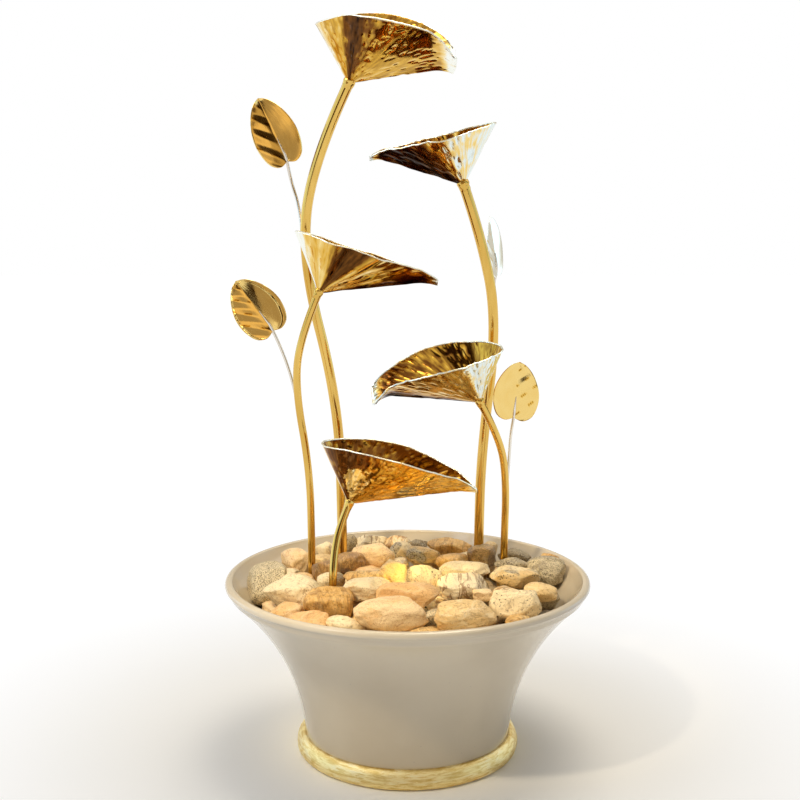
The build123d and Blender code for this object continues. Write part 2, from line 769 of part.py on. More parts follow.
for name, twig in TWIGS.items():
    rod = bent_rod(twig["rod"], ROD)
    with BuildPart() as placed_rod:
        add(rod)
        add(stem_cores[name], mode=Mode.SUBTRACT)
    piece = placed_rod.part.solids().sort_by(SortBy.VOLUME)[-1]
    save(Part(piece.wrapped), f"{name}_twig")
    base = Vector(*twig["rod"][-1]) * 0.85 + Vector(*twig["rod"][-2]) * 0.15
    along = Vector(*twig["tip"]) - base
    facing = Vector(*twig["facing"])
    facing = (facing - along * (facing.dot(along) / along.dot(along))).normalized()
    across = facing.cross(along).normalized()
    fold = math.radians(twig["fold"])
    with BuildPart() as small_leaf:
        for side in (-1, 1):
            normal = facing * math.cos(fold) + across * (-side * math.sin(fold))
            add(half_leaf(base, along, normal, along.length, twig["width"], side))
        add(rod, mode=Mode.SUBTRACT)
    save(small_leaf.part, f"{name}_small_leaf")
    print(name, "small leaf:", len(small_leaf.part.solids()), "solids; twig", len(placed_rod.part.solids()))

# ---------------------------------------------------------------- the bed of river pebbles
# One row a pebble that lies on top: kind, centre, half-sizes (length, depth, height), and its turn
# about the upright in degrees. The rest of the bed is filled in beneath and between them.
TOP_PEBBLES = [
    ("grey", (-127, -3, 152), (18, 22, 17), 5),
    ("cream", (-100, -43, 154), (25, 18, 16), -20),
    ("tan", (-66, -64, 154), (21, 16, 14), 10),
    ("peach", (-106, 66, 152), (16, 12, 12), -55),
    ("brown", (-76, 25, 156), (13, 11, 10), 15),
    ("cream", (-70, -13, 158), (12, 9, 7), -10),
    ("brown", (-54, 50, 156), (14, 12, 9), 20),
    ("peach", (-34, 74, 156), (20, 15, 11), 5),
    ("cream", (-82, 110, 153), (9, 9, 9), 0),
    ("grey", (-56, 128, 156), (7, 9, 9), 20),
    ("banded", (-35, 125, 156), (15, 9, 7), 10),
    ("banded", (-12, 123, 155), (13, 11, 9), -10),
    ("cream", (-13, 6, 158), (17, 14, 12), -15),
    ("tan", (-38, -14, 160), (19, 13, 8), -5),
    ("cream", (-37, -50, 160), (20, 14, 9), 12),
    ("spotted", (-5, 96, 155), (11, 10, 10), 0),
    ("spotted", (14, 70, 157), (17, 14, 10), -12),
    ("spotted", (17, -13, 157), (15, 17, 15), 30),
    ("peach", (0, -68, 158), (26, 17, 11), -8),
    ("peach", (-14, -101, 153), (30, 17, 13), -3),
    ("cream", (46, -100, 153), (27, 16, 12), 8),
    ("banded", (49, -38, 158), (22, 15, 11), 4),
    ("cream", (53, 16, 158), (22, 12, 7), -6),
    ("tan", (45, 52, 158), (17, 11, 7), 10),
    ("tan", (42, 115, 154), (22, 13, 9), -8),
    ("brown", (73, 62, 157), (13, 12, 12), 20),
    ("cream", (86, 97, 156), (8, 8, 8), 0),
    ("grey", (101, 86, 154), (20, 10, 9), -40),
    ("grey", (127, 31, 154), (18, 17, 13), 40),
    ("tan", (137, 53, 157), (8, 9, 7), 60),
    ("grey", (101, 36, 158), (16, 9, 6), 10),
    ("spotted", (97, -2, 158), (22, 15, 9), -6),
    ("cream", (116, -45, 157), (15, 11, 9), -30),
    ("spotted", (90, -66, 154), (23, 17, 14), 12),
    ("peach", (66, -66, 161), (8, 7, 5), 0),
    ("grey", (12, 122, 156), (9, 7, 5), 0),
]
FILL_KINDS = ("cream", "tan", "spotted", "peach", "grey", "brown", "cream", "banded")
PEBBLE_GAP = 0.12
GOLDEN = math.pi * (3 - math.sqrt(5))

pebbles = [
    dict(kind=kind, at=np.array(at, float), half=half, turn=turn, tip=0, shown=True)
    for kind, at, half, turn in TOP_PEBBLES
]
# Two sunflower layers, lower and upper, with sizes that vary in a fixed round.
for layer, (count, height, reach_out) in enumerate([(46, 131, 112), (52, 147, 134)]):
    for n in range(count):
        radius = reach_out * math.sqrt((n + 0.5) / count)
        angle = n * GOLDEN + layer
        size = 0.85 + 0.3 * ((n * 5) % 7) / 6
        pebbles.append(
            dict(
                kind="under" if layer == 0 else FILL_KINDS[n % len(FILL_KINDS)],
                at=np.array([radius * math.cos(angle), radius * math.sin(angle), height], float),
                half=(16 * size, 12.5 * size, 8.5 * size),
                turn=math.degrees(n * 2.4),
                tip=12 * math.sin(n * 1.7),
                shown=False,
            )
        )


def axes_of(pebble):
    """The pebble's own axes as columns: turned about the upright, then tipped."""
    turn, tip = math.radians(pebble["turn"]), math.radians(pebble["tip"])
    x = (math.cos(turn) * math.cos(tip), math.sin(turn) * math.cos(tip), math.sin(tip))
    z = (-math.cos(turn) * math.sin(tip), -math.sin(turn) * math.sin(tip), math.cos(tip))
    return np.column_stack([x, np.cross(z, x), z])


frames = np.array([axes_of(p) for p in pebbles])
halves = np.array([p["half"] for p in pebbles]) + PEBBLE_GAP
shapes = frames @ (halves[:, :, None] ** 2 * np.swapaxes(frames, 1, 2))
reaches = halves.max(axis=1)
centres = np.array([p["at"] for p in pebbles])
ease = np.where([p["shown"] for p in pebbles], 0.2, 1.0)
SKIN = 160
skin_z = 1 - 2 * (np.arange(SKIN) + 0.5) / SKIN
skin_a = np.arange(SKIN) * GOLDEN
skin_r = np.sqrt(1 - skin_z**2)
ball = np.column_stack([skin_r * np.cos(skin_a), skin_r * np.sin(skin_a), skin_z])
skins = np.einsum("nij,nj,kj->nki", frames, halves, ball)
shares = np.linspace(0.1, 0.9, 9)[None, :, None, None]


def touching_pairs(spread):
    """Pairs that overlap, and the push along their common normal that would part them."""
    first, second = np.triu_indices(len(pebbles), 1)
    apart = centres[second] - centres[first]
    near = np.linalg.norm(apart, axis=1) < reaches[first] + reaches[second]
    first, second, apart = first[near], second[near], apart[near]
    blend = (1 - shares) * shapes[first][:, None] + shares * shapes[second][:, None]
    side = np.linalg.solve(blend, np.repeat(apart[:, None, :, None], shares.shape[1], 1))[..., 0]
    test = shares[0, :, 0, 0] * (1 - shares[0, :, 0, 0]) * np.einsum("pi,pki->pk", apart, side)
    best = test.argmax(axis=1)
    rows = np.arange(len(best))
    touch = test[rows, best]
    normal = side[rows, best]
    normal /= np.linalg.norm(normal, axis=1, keepdims=True)
    push = (1 / np.sqrt(touch) - 1) * np.einsum("pi,pi->p", apart, normal)
    hit = touch < spread
    return first[hit], second[hit], normal[hit], push[hit]


keep_outs = []  # upright cylinders that the pebbles stay out of: x, y, radius, top
for name, (x, y) in stem_feet.items():
    keep_outs.append((x, y, STEMS[name]["tube"] / 2 + 1.2, RIM_HEIGHT + 30))
    keep_outs.append((x, y, barrel_radius(name) + 0.8, DECK_TOP + SOCKET_HEIGHT + 0.8))
    keep_outs.append((x, y, barrel_radius(name) + 3, DECK_TOP + 2.6))
keep_outs.append((*LAMP_AT, LAMP_RADIUS + 0.5, DECK_TOP + LAMP_HEIGHT + 0.5))
for spot in leg_spots:
    keep_outs.append((spot.position.X, spot.position.Y, 4.3, DECK_TOP + 3))
wall_heights = np.linspace(100, INSIDE_TOP + 4, 60)
wall_radii = np.array([inside_at(height) for height in wall_heights])


def fixed_pushes():
    """For each pebble, the push that clears the deck, the wall, the sockets, stems and lamp."""
    points = centres[:, None] + skins
    push = np.zeros_like(centres)
    radius = np.hypot(points[..., 0], points[..., 1])
    floor = np.where(radius > DECK_RADIUS - 3, DECK_TOP + 1.9, DECK_TOP + 0.3)
    push[:, 2] += np.maximum(0, (floor - points[..., 2]).max(axis=1))
    over = (radius + 0.6 - np.interp(points[..., 2], wall_heights, wall_radii)).max(axis=1)
    inward = -centres[:, :2] / np.linalg.norm(centres[:, :2], axis=1, keepdims=True)
    push[:, :2] += inward * np.maximum(0, over)[:, None] * 0.75
    push[:, 2] += np.maximum(0, over) * 0.3
    for x, y, size, top in keep_outs:
        away = points[..., :2] - (x, y)
        depth = np.where(points[..., 2] < top, size - np.hypot(away[..., 0], away[..., 1]), 0)
        deepest = np.maximum(0, depth.max(axis=1))
        out = centres[:, :2] - (x, y)
        push[:, :2] += out / np.linalg.norm(out, axis=1, keepdims=True) * deepest[:, None]
    return push


start = centres.copy()
for step in range(420):
    moves = fixed_pushes()
    first, second, normal, push = touching_pairs(1.0)
    total = ease[first] + ease[second]
    np.add.at(moves, first, -normal * (push * ease[first] / total)[:, None])
    np.add.at(moves, second, normal * (push * ease[second] / total)[:, None])
    centres += moves * 0.6
    if step < 300:
        centres += (start - centres) * np.where(ease < 1, 0.04, 0.01)[:, None]

# What still presses on a neighbour or on something fixed is left out, fillers first.
kept = set(range(len(pebbles)))
stuck = np.linalg.norm(fixed_pushes(), axis=1) > 0.15
kept -= {int(n) for n in np.flatnonzero(stuck)}
first, second, _, push = touching_pairs(0.9995)
for a, b in sorted(zip(first.tolist(), second.tolist())):
    if a in kept and b in kept:
        kept.discard(b)
shown_left_out = [n for n in range(len(TOP_PEBBLES)) if n not in kept]
drift = np.linalg.norm((centres - start)[: len(TOP_PEBBLES)], axis=1)
print("pebbles kept", len(kept), "of", len(pebbles), "- shown ones left out:", shown_left_out)
print("shown pebbles moved at most", round(float(drift.max()), 1), "mm")


def pebble_solid(n):
    """One smooth pebble: a ball drawn out to its three half-sizes, turned and put in place."""
    with BuildPart() as ball_part:
        Sphere(1)
        scale(by=pebbles[n]["half"])
    place = Plane(
        origin=tuple(centres[n]), x_dir=tuple(frames[n][:, 0]), z_dir=tuple(frames[n][:, 2])
    )
    return place.location * ball_part.part.solid()


for kind in ("cream", "tan", "peach", "brown", "grey", "spotted", "banded", "under"):
    group = [pebble_solid(n) for n in sorted(kept) if pebbles[n]["kind"] == kind]
    save(Compound(group), f"{kind}_pebbles")
    print(kind, "pebbles:", len(group))
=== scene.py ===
# %% [markdown]
# # A tabletop fountain: folded brass cups above a bowl of river stones
#
# The mechanical model comes first and stays fixed. Everything here is built around it, in metres,
# so each new piece only has to be put where the model says.

import json
import math

import bmesh
import bpy
import numpy as np
from mathutils import Matrix, Vector, noise


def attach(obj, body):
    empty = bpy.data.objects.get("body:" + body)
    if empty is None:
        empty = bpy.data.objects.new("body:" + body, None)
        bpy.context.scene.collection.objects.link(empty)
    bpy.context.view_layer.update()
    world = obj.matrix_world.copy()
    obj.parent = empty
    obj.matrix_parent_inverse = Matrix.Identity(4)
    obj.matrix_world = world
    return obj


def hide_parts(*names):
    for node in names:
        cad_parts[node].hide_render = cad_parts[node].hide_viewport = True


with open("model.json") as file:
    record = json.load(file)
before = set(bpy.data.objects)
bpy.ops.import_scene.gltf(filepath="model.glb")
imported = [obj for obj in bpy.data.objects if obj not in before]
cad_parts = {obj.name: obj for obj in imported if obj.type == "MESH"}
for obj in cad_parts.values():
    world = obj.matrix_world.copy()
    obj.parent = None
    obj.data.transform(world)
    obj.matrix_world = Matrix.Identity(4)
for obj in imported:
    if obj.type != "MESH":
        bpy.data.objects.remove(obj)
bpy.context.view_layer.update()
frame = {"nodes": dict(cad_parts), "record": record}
MM = 0.001

# %% [markdown]
# ## The camera
#
# The fountain is seen from a little above the middle of its height, with the lens tipped down by
# eight degrees. The bowl's rim then shows as a thin ellipse and the stones can be seen inside.

# %% Camera
CAMERA_PLACE = (-0.0068, -1.054, 0.470)
CAMERA_TIP = 8.0
LENS = 53.55

camera_data = bpy.data.cameras.new("camera")
camera_data.lens = LENS
camera_data.sensor_width = 36
camera = bpy.data.objects.new("camera", camera_data)
camera.location = CAMERA_PLACE
camera.rotation_euler = (math.radians(90 - CAMERA_TIP), 0, 0)
bpy.context.scene.collection.objects.link(camera)
bpy.context.scene.camera = camera
print("camera at", CAMERA_PLACE)

# %% [markdown]
# ## Writing materials as sums
#
# A procedural material is arithmetic on patterns. Wrapping a socket in a small class that knows
# + - * / lets each finish below read like that arithmetic, and the nodes are added as it runs.

# %% A socket that can be used in a sum
def plug(tree, slot, value):
    """Links a wire to a socket, or sets the socket's own value."""
    if isinstance(value, Wire):
        tree.links.new(value.socket, slot)
    elif slot.type == "RGBA" and len(value) == 3:
        slot.default_value = (*value, 1.0)
    else:
        slot.default_value = value


class Wire:
    """One output socket, with the arithmetic of the Math node."""

    def __init__(self, tree, socket):
        self.tree = tree
        self.socket = socket

    def maths(self, operation, *values):
        node = self.tree.nodes.new("ShaderNodeMath")
        node.operation = operation
        for slot, value in zip(node.inputs, values):
            plug(self.tree, slot, value)
        return Wire(self.tree, node.outputs[0])

    def __add__(self, other):
        return self.maths("ADD", self, other)

    def __radd__(self, other):
        return self.maths("ADD", other, self)

    def __sub__(self, other):
        return self.maths("SUBTRACT", self, other)

    def __rsub__(self, other):
        return self.maths("SUBTRACT", other, self)

    def __mul__(self, other):
        return self.maths("MULTIPLY", self, other)

    def __rmul__(self, other):
        return self.maths("MULTIPLY", other, self)

    def __pow__(self, other):
        return self.maths("POWER", self, other)

    def sine(self):
        return self.maths("SINE", self)

    def rise(self, low, high):
        """0 below low, 1 above high, and smooth between them."""
        node = self.tree.nodes.new("ShaderNodeMapRange")
        node.interpolation_type = "SMOOTHSTEP"
        plug(self.tree, node.inputs["Value"], self)
        node.inputs["From Min"].default_value = low
        node.inputs["From Max"].default_value = high
        return Wire(self.tree, node.outputs[0])


print("a wire can be added, taken away, multiplied and raised to a power")

# %% One method that adds any other node
class Nodes:
    """Adds nodes to one tree: settings first, then the sockets' values or wires."""

    def __init__(self, tree):
        self.tree = tree

    def add(self, kind, settings=None, sockets=None, out=0):
        node = self.tree.nodes.new("ShaderNode" + kind)
        for name, value in (settings or {}).items():
            if name == "stops":
                for index, (place, colour) in enumerate(value):
                    if index < 2:
                        stop = node.color_ramp.elements[index]
                        stop.position = place
                    else:
                        stop = node.color_ramp.elements.new(place)
                    stop.color = (*colour, 1.0)
            else:
                setattr(node, name, value)
        for name, value in (sockets or {}).items():
            plug(self.tree, node.inputs[name], value)
        return Wire(self.tree, node.outputs[out])

    def place(self):
        """Where a point is in the fountain, in metres."""
        return self.add("TexCoord", out="Object")

    def own(self, name, out="Vector"):
        """A value that the mesh carries on its points."""
        return self.add("Attribute", {"attribute_name": name}, out=out)

    def stretch(self, vector, *factors):
        return self.add("VectorMath", {"operation": "MULTIPLY"}, {0: vector, 1: factors})

    def clouds(self, vector, scale, detail=3.0, rough=0.5, warp=0.0):
        sockets = {"Vector": vector, "Scale": scale, "Detail": detail, "Roughness": rough}
        return self.add("TexNoise", None, sockets | {"Distortion": warp})

    def cells(self, vector, scale):
        """Distance to the nearest of many scattered points."""
        return self.add("TexVoronoi", {"feature": "F1"}, {"Vector": vector, "Scale": scale})

    def mix(self, factor, first, second):
        """One colour turning into another as the factor goes from 0 to 1."""
        return self.add("Mix", {"data_type": "RGBA"}, {0: factor, 6: first, 7: second}, out=2)

    def ramp(self, factor, *stops):
        return self.add("ValToRGB", {"stops": stops}, {0: factor})

    def bump(self, height, strength, distance):
        return self.add("Bump", None, {"Height": height, "Strength": strength, "Distance": distance})


class Finish(Nodes):
    """A material with one Principled shader."""

    def __init__(self, name):
        self.material = bpy.data.materials.new(name)
        self.material.use_nodes = True
        super().__init__(self.material.node_tree)
        self.shader = self.tree.nodes["Principled BSDF"]

    def shade(self, **sockets):
        """Sets the shader's sockets; base_color stands for the socket Base Color."""
        for name, value in sockets.items():
            spelled = " ".join(word if word == "IOR" else word.capitalize() for word in name.split("_"))
            plug(self.tree, self.shader.inputs[spelled], value)
        return self.material


print("helpers ready")

# %% [markdown]
# ## The studio
#
# Polished brass has no look of its own: it shows the room. The room here is a sky of soft boxes
# with warm brown gaps between them, so that a fold in the metal swings from cream to amber to
# nearly black. The lens itself sees plain white behind the fountain.

# %% A room for the brass to reflect
def soft_band(wire, low, high, edge):
    """1 between low and high, fading over edge on both sides."""
    return wire.rise(low - edge, low + edge) * (1 - wire.rise(high - edge, high + edge))


world = bpy.data.worlds.new("studio")
bpy.context.scene.world = world
world.use_nodes = True
sky = Nodes(world.node_tree)
towards = sky.add("TexCoord", out="Generated")
split = sky.add("SeparateXYZ", None, {0: towards})
to_right = split
to_back = Wire(sky.tree, split.socket.node.outputs[1])
to_top = Wire(sky.tree, split.socket.node.outputs[2])

WARM_GAP = (0.40, 0.22, 0.08)
BOX_LIGHT = (1.0, 0.97, 0.90)
COOL_SIDE = (0.70, 0.86, 1.0)
BACK_WALL = (1.0, 0.93, 0.80)
overhead = to_top.rise(0.50, 0.62)
left_box = (1 - to_right.rise(-0.80, -0.62)) * soft_band(to_top, -0.10, 0.50, 0.06)
right_box = to_right.rise(0.66, 0.80) * soft_band(to_top, -0.10, 0.45, 0.06)
front_strip = (1 - to_back.rise(-0.62, -0.50)) * soft_band(to_top, 0.16, 0.30, 0.04)
back_wall = to_back.rise(0.10, 0.35)
room = sky.mix(back_wall, WARM_GAP, BACK_WALL)
room = sky.mix(front_strip * 0.7, room, (1.0, 0.74, 0.38))
room = sky.mix(left_box.maths("MAXIMUM", left_box, right_box), room, COOL_SIDE)
room = sky.mix(overhead, room, BOX_LIGHT)
lights = sky.add("LightPath", out="Is Camera Ray")
mirror_ray = Wire(sky.tree, lights.socket.node.outputs["Is Glossy Ray"])
boxes = overhead * 1.1 + left_box * 1.6 + right_box * 1.3 + front_strip * 0.9 + back_wall * 0.75

# The gaps are dim, and the whole room is brighter in a mirror than on a matt surface.
GAP_LIGHT = 0.08
BOX_LIGHTING = 0.62
ON_MATT = 0.38
MORE_IN_MIRRORS = 0.85
glow = (GAP_LIGHT + boxes * BOX_LIGHTING) * (ON_MATT + mirror_ray * MORE_IN_MIRRORS)
backdrop = world.node_tree.nodes["Background"]
plug(sky.tree, backdrop.inputs["Color"], sky.mix(lights, room, (1.0, 1.0, 1.0)))
plug(sky.tree, backdrop.inputs["Strength"], glow * (1 - lights) + lights)
bpy.context.scene.view_settings.view_transform = "Standard"
print("world nodes:", len(sky.tree.nodes))

# %% Lamps
def add_lamp(name, kind, place, power, colour=(1, 1, 1), target=(0, 0, 0)):
    """A lamp turned to face a point. The lens doesn't see the lamp itself."""
    data = bpy.data.lights.new(name, kind)
    data.energy = power
    data.color = colour
    lamp = bpy.data.objects.new(name, data)
    lamp.location = place
    lamp.rotation_euler = (Vector(target) - Vector(place)).to_track_quat("-Z", "Y").to_euler()
    lamp.visible_camera = False
    bpy.context.scene.collection.objects.link(lamp)
    return lamp


MIDDLE = (0, 0, 0.33)
key = add_lamp("key_lamp", "AREA", (-0.9, -0.5, 1.5), 6, target=MIDDLE)
fill = add_lamp("fill_lamp", "AREA", (0.3, -1.6, 0.7), 0.8, (1.0, 0.80, 0.55), MIDDLE)
top_light = add_lamp("top_lamp", "AREA", (0.2, 0.2, 1.7), 12, (1.0, 0.88, 0.68), MIDDLE)
key.data.size = 0.7
fill.data.size = 0.8
top_light.data.size = 0.8

# A narrow warm pool on the stones, which the brass doesn't reflect.
STONE_LEVEL = 0.15
pool = add_lamp("stone_pool", "SPOT", (-0.42, -0.55, 0.85), 26, (1.0, 0.84, 0.58), (0, 0, STONE_LEVEL))
pool.data.spot_size = math.radians(22)
pool.data.spot_blend = 0.6
pool.data.shadow_soft_size = 0.05
pool.visible_glossy = False

# The yellow lamp under the middle of the bed, just above its lens.
lamp_glow = add_lamp("lamp_glow", "POINT", (0.010, -0.020, 0.172), 0.11, (1.0, 0.70, 0.10))
lamp_glow.data.shadow_soft_size = 0.02
lamp_glow.visible_glossy = False
print("lamps:", [lamp.name for lamp in (key, fill, top_light, pool, lamp_glow)])

# %% Floor
def mesh_piece(name, vertices, faces, material):
    """A smooth-shaded mesh object made from lists of points and faces."""
    mesh = bpy.data.meshes.new(name)
    mesh.from_pydata([tuple(point) for point in vertices], [], faces)
    mesh.update()
    mesh.shade_smooth()
    piece = bpy.data.objects.new(name, mesh)
    piece.data.materials.append(material)
    bpy.context.scene.collection.objects.link(piece)
    return piece


def pale_floor():
    """Pale near the fountain; further out it glows as white as the backdrop, so no horizon shows."""
    finish = Finish("pale_floor")
    place = finish.place()
    mottle = finish.clouds(place, 3.0)
    colour = finish.mix(mottle, (0.97, 0.97, 0.97), (0.985, 0.985, 0.98))
    away = finish.add("VectorMath", {"operation": "LENGTH"}, {0: place}, out="Value").rise(0.05, 0.55)
    return finish.shade(
        base_color=finish.mix(away, colour, (0, 0, 0)),
        emission_color=finish.mix(away, (0, 0, 0), (1, 1, 1)),
        emission_strength=1.0,
        roughness=0.75,
        specular_IOR_level=0.1,
    )


FLOOR_HALF = 12.0
corners = [(-1, -1), (1, -1), (1, 1), (-1, 1)]
floor = mesh_piece(
    "floor",
    [(x * FLOOR_HALF, y * FLOOR_HALF, 0) for x, y in corners],
    [(0, 1, 2, 3)],
    pale_floor(),
)
print("studio ready")

# %% [markdown]
# ## Ceramic and gilding
#
# The bowl is slip-cast and glazed: an even off-white with a faint warm mottle, a few iron
# specks and the slightly wavy skin of a thick glaze. Its foot is gilded by hand, so the gold
# shows brush marks and thin places.

# %% Glaze and gold
def glazed_ceramic():
    """Warm off-white glaze with iron specks and a slightly wavy skin."""
    finish = Finish("glazed_ceramic")
    place = finish.place()
    mottle = finish.clouds(place, 11.0, 4.0)
    base = finish.mix(mottle.rise(0.35, 0.65), (0.60, 0.515, 0.385), (0.64, 0.56, 0.43))
    speck = finish.cells(place, 95.0).rise(0.03, 0.06)
    base = finish.mix(speck, (0.50, 0.44, 0.37), base)
    skin = finish.clouds(place, 38.0, 2.0)
    return finish.shade(
        base_color=base,
        roughness=0.10 + mottle * 0.10,
        normal=finish.bump(skin, 0.25, 0.0006),
        coat_weight=0.35,
        coat_roughness=0.05,
    )


def gilding():
    """Gold laid on by brush, thin in places."""
    finish = Finish("gilding")
    place = finish.place()
    strokes = finish.clouds(finish.stretch(place, 1, 1, 7), 62.0, 6.0, 0.68, 0.4)
    patches = finish.clouds(place, 46.0, 4.0)
    thin = (strokes * 0.6 + patches * 0.4).rise(0.50, 0.66)
    gold = finish.mix(strokes.rise(0.35, 0.62), (0.72, 0.50, 0.15), (1.0, 0.84, 0.42))
    colour = finish.mix(thin * 0.55, gold, (0.95, 0.90, 0.72))
    return finish.shade(
        base_color=colour,
        metallic=0.92 - thin * 0.35,
        roughness=0.30 + strokes * 0.25,
        normal=finish.bump(strokes + patches * 0.5, 0.55, 0.0012),
    )


CERAMIC = glazed_ceramic()
GOLD = gilding()
print("ceramic and gold")

# %% [markdown]
# ## Brass
#
# Every brass piece starts from the same alloy. The tubes are drawn and polished. The cups are
# beaten; their colour runs from pale, a painted reflection of the soft boxes, through amber to
# near-black, painted shade under the cups and in their folds. Each cup's mesh carries that colour as a number
# called tint.

# %% Brass for tubes, rods and leaves
def drawn_brass(name, dark, light, rough, scale):
    """Polished brass with faint lines drawn out along its height and a few stains."""
    finish = Finish(name)
    place = finish.place()
    lengthways = finish.clouds(finish.stretch(place, 1, 1, 0.12), scale, 4.0)
    stain = finish.clouds(place, 9.0, 2.0)
    colour = finish.mix((lengthways * 0.35 + stain * 0.65).rise(0.30, 0.70), dark, light)
    return finish.shade(
        base_color=colour,
        metallic=1.0,
        roughness=rough + stain * 0.08,
        normal=finish.bump(lengthways, 0.06, 0.0002),
    )


STEM_BRASS = drawn_brass("stem_brass", (0.64, 0.39, 0.08), (0.80, 0.53, 0.14), 0.10, 190.0)
TWIG_BRASS = drawn_brass("twig_brass", (0.66, 0.60, 0.52), (0.84, 0.79, 0.70), 0.14, 260.0)
print("drawn brass:", STEM_BRASS.name, TWIG_BRASS.name)

# %% Beaten brass for the cups and the small leaves
# The ramp's pale end is a painted reflection of the soft boxes; its near-black end is painted shade.
PALE = (0.90, 0.92, 0.84)
STRAW = (0.90, 0.68, 0.26)
AMBER = (0.74, 0.43, 0.06)
TOBACCO = (0.20, 0.075, 0.014)
SHADE_BLACK = (0.020, 0.008, 0.004)


def beaten_brass(name, streak=0.20, rough=0.06, pale=PALE):
    """Brass coloured by the tint that its mesh carries, with streaks that run out to the rim."""
    finish = Finish(name)
    place = finish.own("beaten_place")
    tint = finish.own("tint", out="Fac")
    streaks = finish.clouds(finish.stretch(place, 0.22, 1, 1), 0.42, 2.0, 0.5)
    stains = finish.clouds(place, 0.07, 2.0)
    tone = tint + (streaks - 0.5) * streak * 2 + (stains - 0.5) * 0.12
    stops = ((0.0, SHADE_BLACK), (0.24, TOBACCO), (0.50, AMBER), (0.74, STRAW), (0.93, pale))
    return finish.shade(
        base_color=finish.ramp(tone, *stops),
        metallic=1.0,
        roughness=rough + streaks * 0.10,
        normal=finish.bump(streaks, 0.12, 0.0003),
    )


HAMMERED = beaten_brass("hammered_brass")
# The two paler cups end in silvery white, a painted reflection.
SILVERY = (0.78, 0.86, 0.84)
PALE_SHEET = beaten_brass("pale_brass", streak=0.30, rough=0.08, pale=SILVERY)
LEAF_BRASS = beaten_brass("leaf_brass", streak=0.03, rough=0.05)
print("beaten brass:", HAMMERED.name, PALE_SHEET.name, LEAF_BRASS.name)

# %% [markdown]
# ## River stones
#
# Each stone is worked out from a few questions: what is its body colour, does it show layers,
# does it have veins, and how rough is it? The mesh carries a point's place inside its own stone,
# so that layers and veins turn with the stone and no two stones match.

# %% A finish for each kind of stone
def stone(name, pale, body, dark, layers=0.0, veins=0.0, pits=0.0, grain=0.0, gloss=0.45):
    """A river stone; layers, veins, pits and grain say how strongly each of them shows."""
    finish = Finish(name)
    place = finish.own("stone_place")
    chance = finish.own("stone_chance", out="Fac")
    broad = finish.clouds(place, 0.055, 5.0, 0.62, 0.5)
    fine = finish.clouds(place, 0.55, 5.0, 0.65)
    colour = finish.mix((broad + (chance - 0.5) * 0.45).rise(0.40, 0.58), body, pale)
    colour = finish.mix(fine.rise(0.52, 0.70) * 0.5, colour, dark)
    if layers:
        stripe = finish.clouds(finish.stretch(place, 0.35, 0.35, 1.3), 0.12, 4.0, 0.55, 0.9)
        colour = finish.mix(soft_band(stripe, 0.52, 0.60, 0.025) * layers, colour, dark)
        colour = finish.mix(soft_band(stripe, 0.40, 0.45, 0.02) * layers, colour, pale)
    if veins:
        warped = finish.stretch(place, 1, 0.35, 0.35)
        line = finish.clouds(warped, 0.10, 5.0, 0.6, 1.2)
        colour = finish.mix(soft_band(line, 0.492, 0.508, 0.010) * veins, colour, dark)
        pale_line = finish.clouds(warped, 0.065, 3.0, 0.5, 0.8)
        colour = finish.mix(soft_band(pale_line, 0.46, 0.50, 0.03) * veins * 0.7, colour, pale)
    hollow = finish.cells(place, 0.42).rise(0.16, 0.30)
    if pits:
        gather = finish.clouds(place, 0.07, 2.0).rise(0.45, 0.60)
        spots = (1 - hollow) * gather * pits
        colour = finish.mix(spots, colour, (0.10, 0.06, 0.03))
        crust = finish.clouds(place, 0.028, 3.0, 0.5, 0.6).rise(0.56, 0.62) * pits
        rough_grain = finish.cells(place, 0.6).rise(0.15, 0.60)
        crust_colour = finish.mix(rough_grain, (0.09, 0.065, 0.035), (0.50, 0.42, 0.28))
        colour = finish.mix(crust, colour, crust_colour)
    if grain:
        crystal = finish.cells(place, 0.95).rise(0.20, 0.55)
        colour = finish.mix((1 - crystal) * grain, colour, dark)
    height = fine * 0.5 + broad * 0.6 + hollow * (0.25 + pits * 0.4)
    return finish.shade(
        base_color=colour,
        roughness=gloss + fine * 0.25,
        normal=finish.bump(height, 0.85, 0.0016),
        coat_weight=0.30,
        coat_roughness=0.22,
    )


STONE_COLOURS = {
    "cream": ((0.95, 0.80, 0.52), (0.84, 0.60, 0.28), (0.34, 0.17, 0.05)),
    "tan": ((0.90, 0.62, 0.26), (0.70, 0.40, 0.11), (0.22, 0.09, 0.02)),
    "peach": ((0.95, 0.72, 0.42), (0.86, 0.54, 0.23), (0.44, 0.18, 0.05)),
    "brown": ((0.70, 0.46, 0.20), (0.46, 0.26, 0.09), (0.10, 0.05, 0.02)),
    "grey": ((0.72, 0.60, 0.38), (0.42, 0.33, 0.19), (0.08, 0.055, 0.03)),
    "spotted": ((0.95, 0.78, 0.48), (0.78, 0.54, 0.23), (0.22, 0.11, 0.04)),
    "banded": ((0.95, 0.82, 0.56), (0.82, 0.54, 0.23), (0.26, 0.12, 0.04)),
    "under": ((0.82, 0.60, 0.30), (0.58, 0.36, 0.14), (0.16, 0.08, 0.03)),
}
STONE_MARKS = {
    "cream": dict(veins=0.7, pits=0.25),
    "tan": dict(layers=0.45, veins=0.5, pits=0.3),
    "peach": dict(veins=0.6, grain=0.25),
    "brown": dict(layers=0.4, grain=0.5, pits=0.4),
    "grey": dict(pits=0.9, grain=0.8, gloss=0.5),
    "spotted": dict(pits=1.0, veins=0.6),
    "banded": dict(layers=0.8, veins=0.4),
    "under": dict(veins=0.6, pits=0.6),
}
STONES = {
    kind: stone(f"{kind}_stone", *colours, **STONE_MARKS[kind])
    for kind, colours in STONE_COLOURS.items()
}
print(len(STONES), "kinds of stone")

# %% [markdown]
# ## The works under the stones
#
# The pump, its hose and the lamp are hidden in use, but a visitor who lifts the stones sees
# them. Their shapes come from the model unchanged and only need honest finishes.

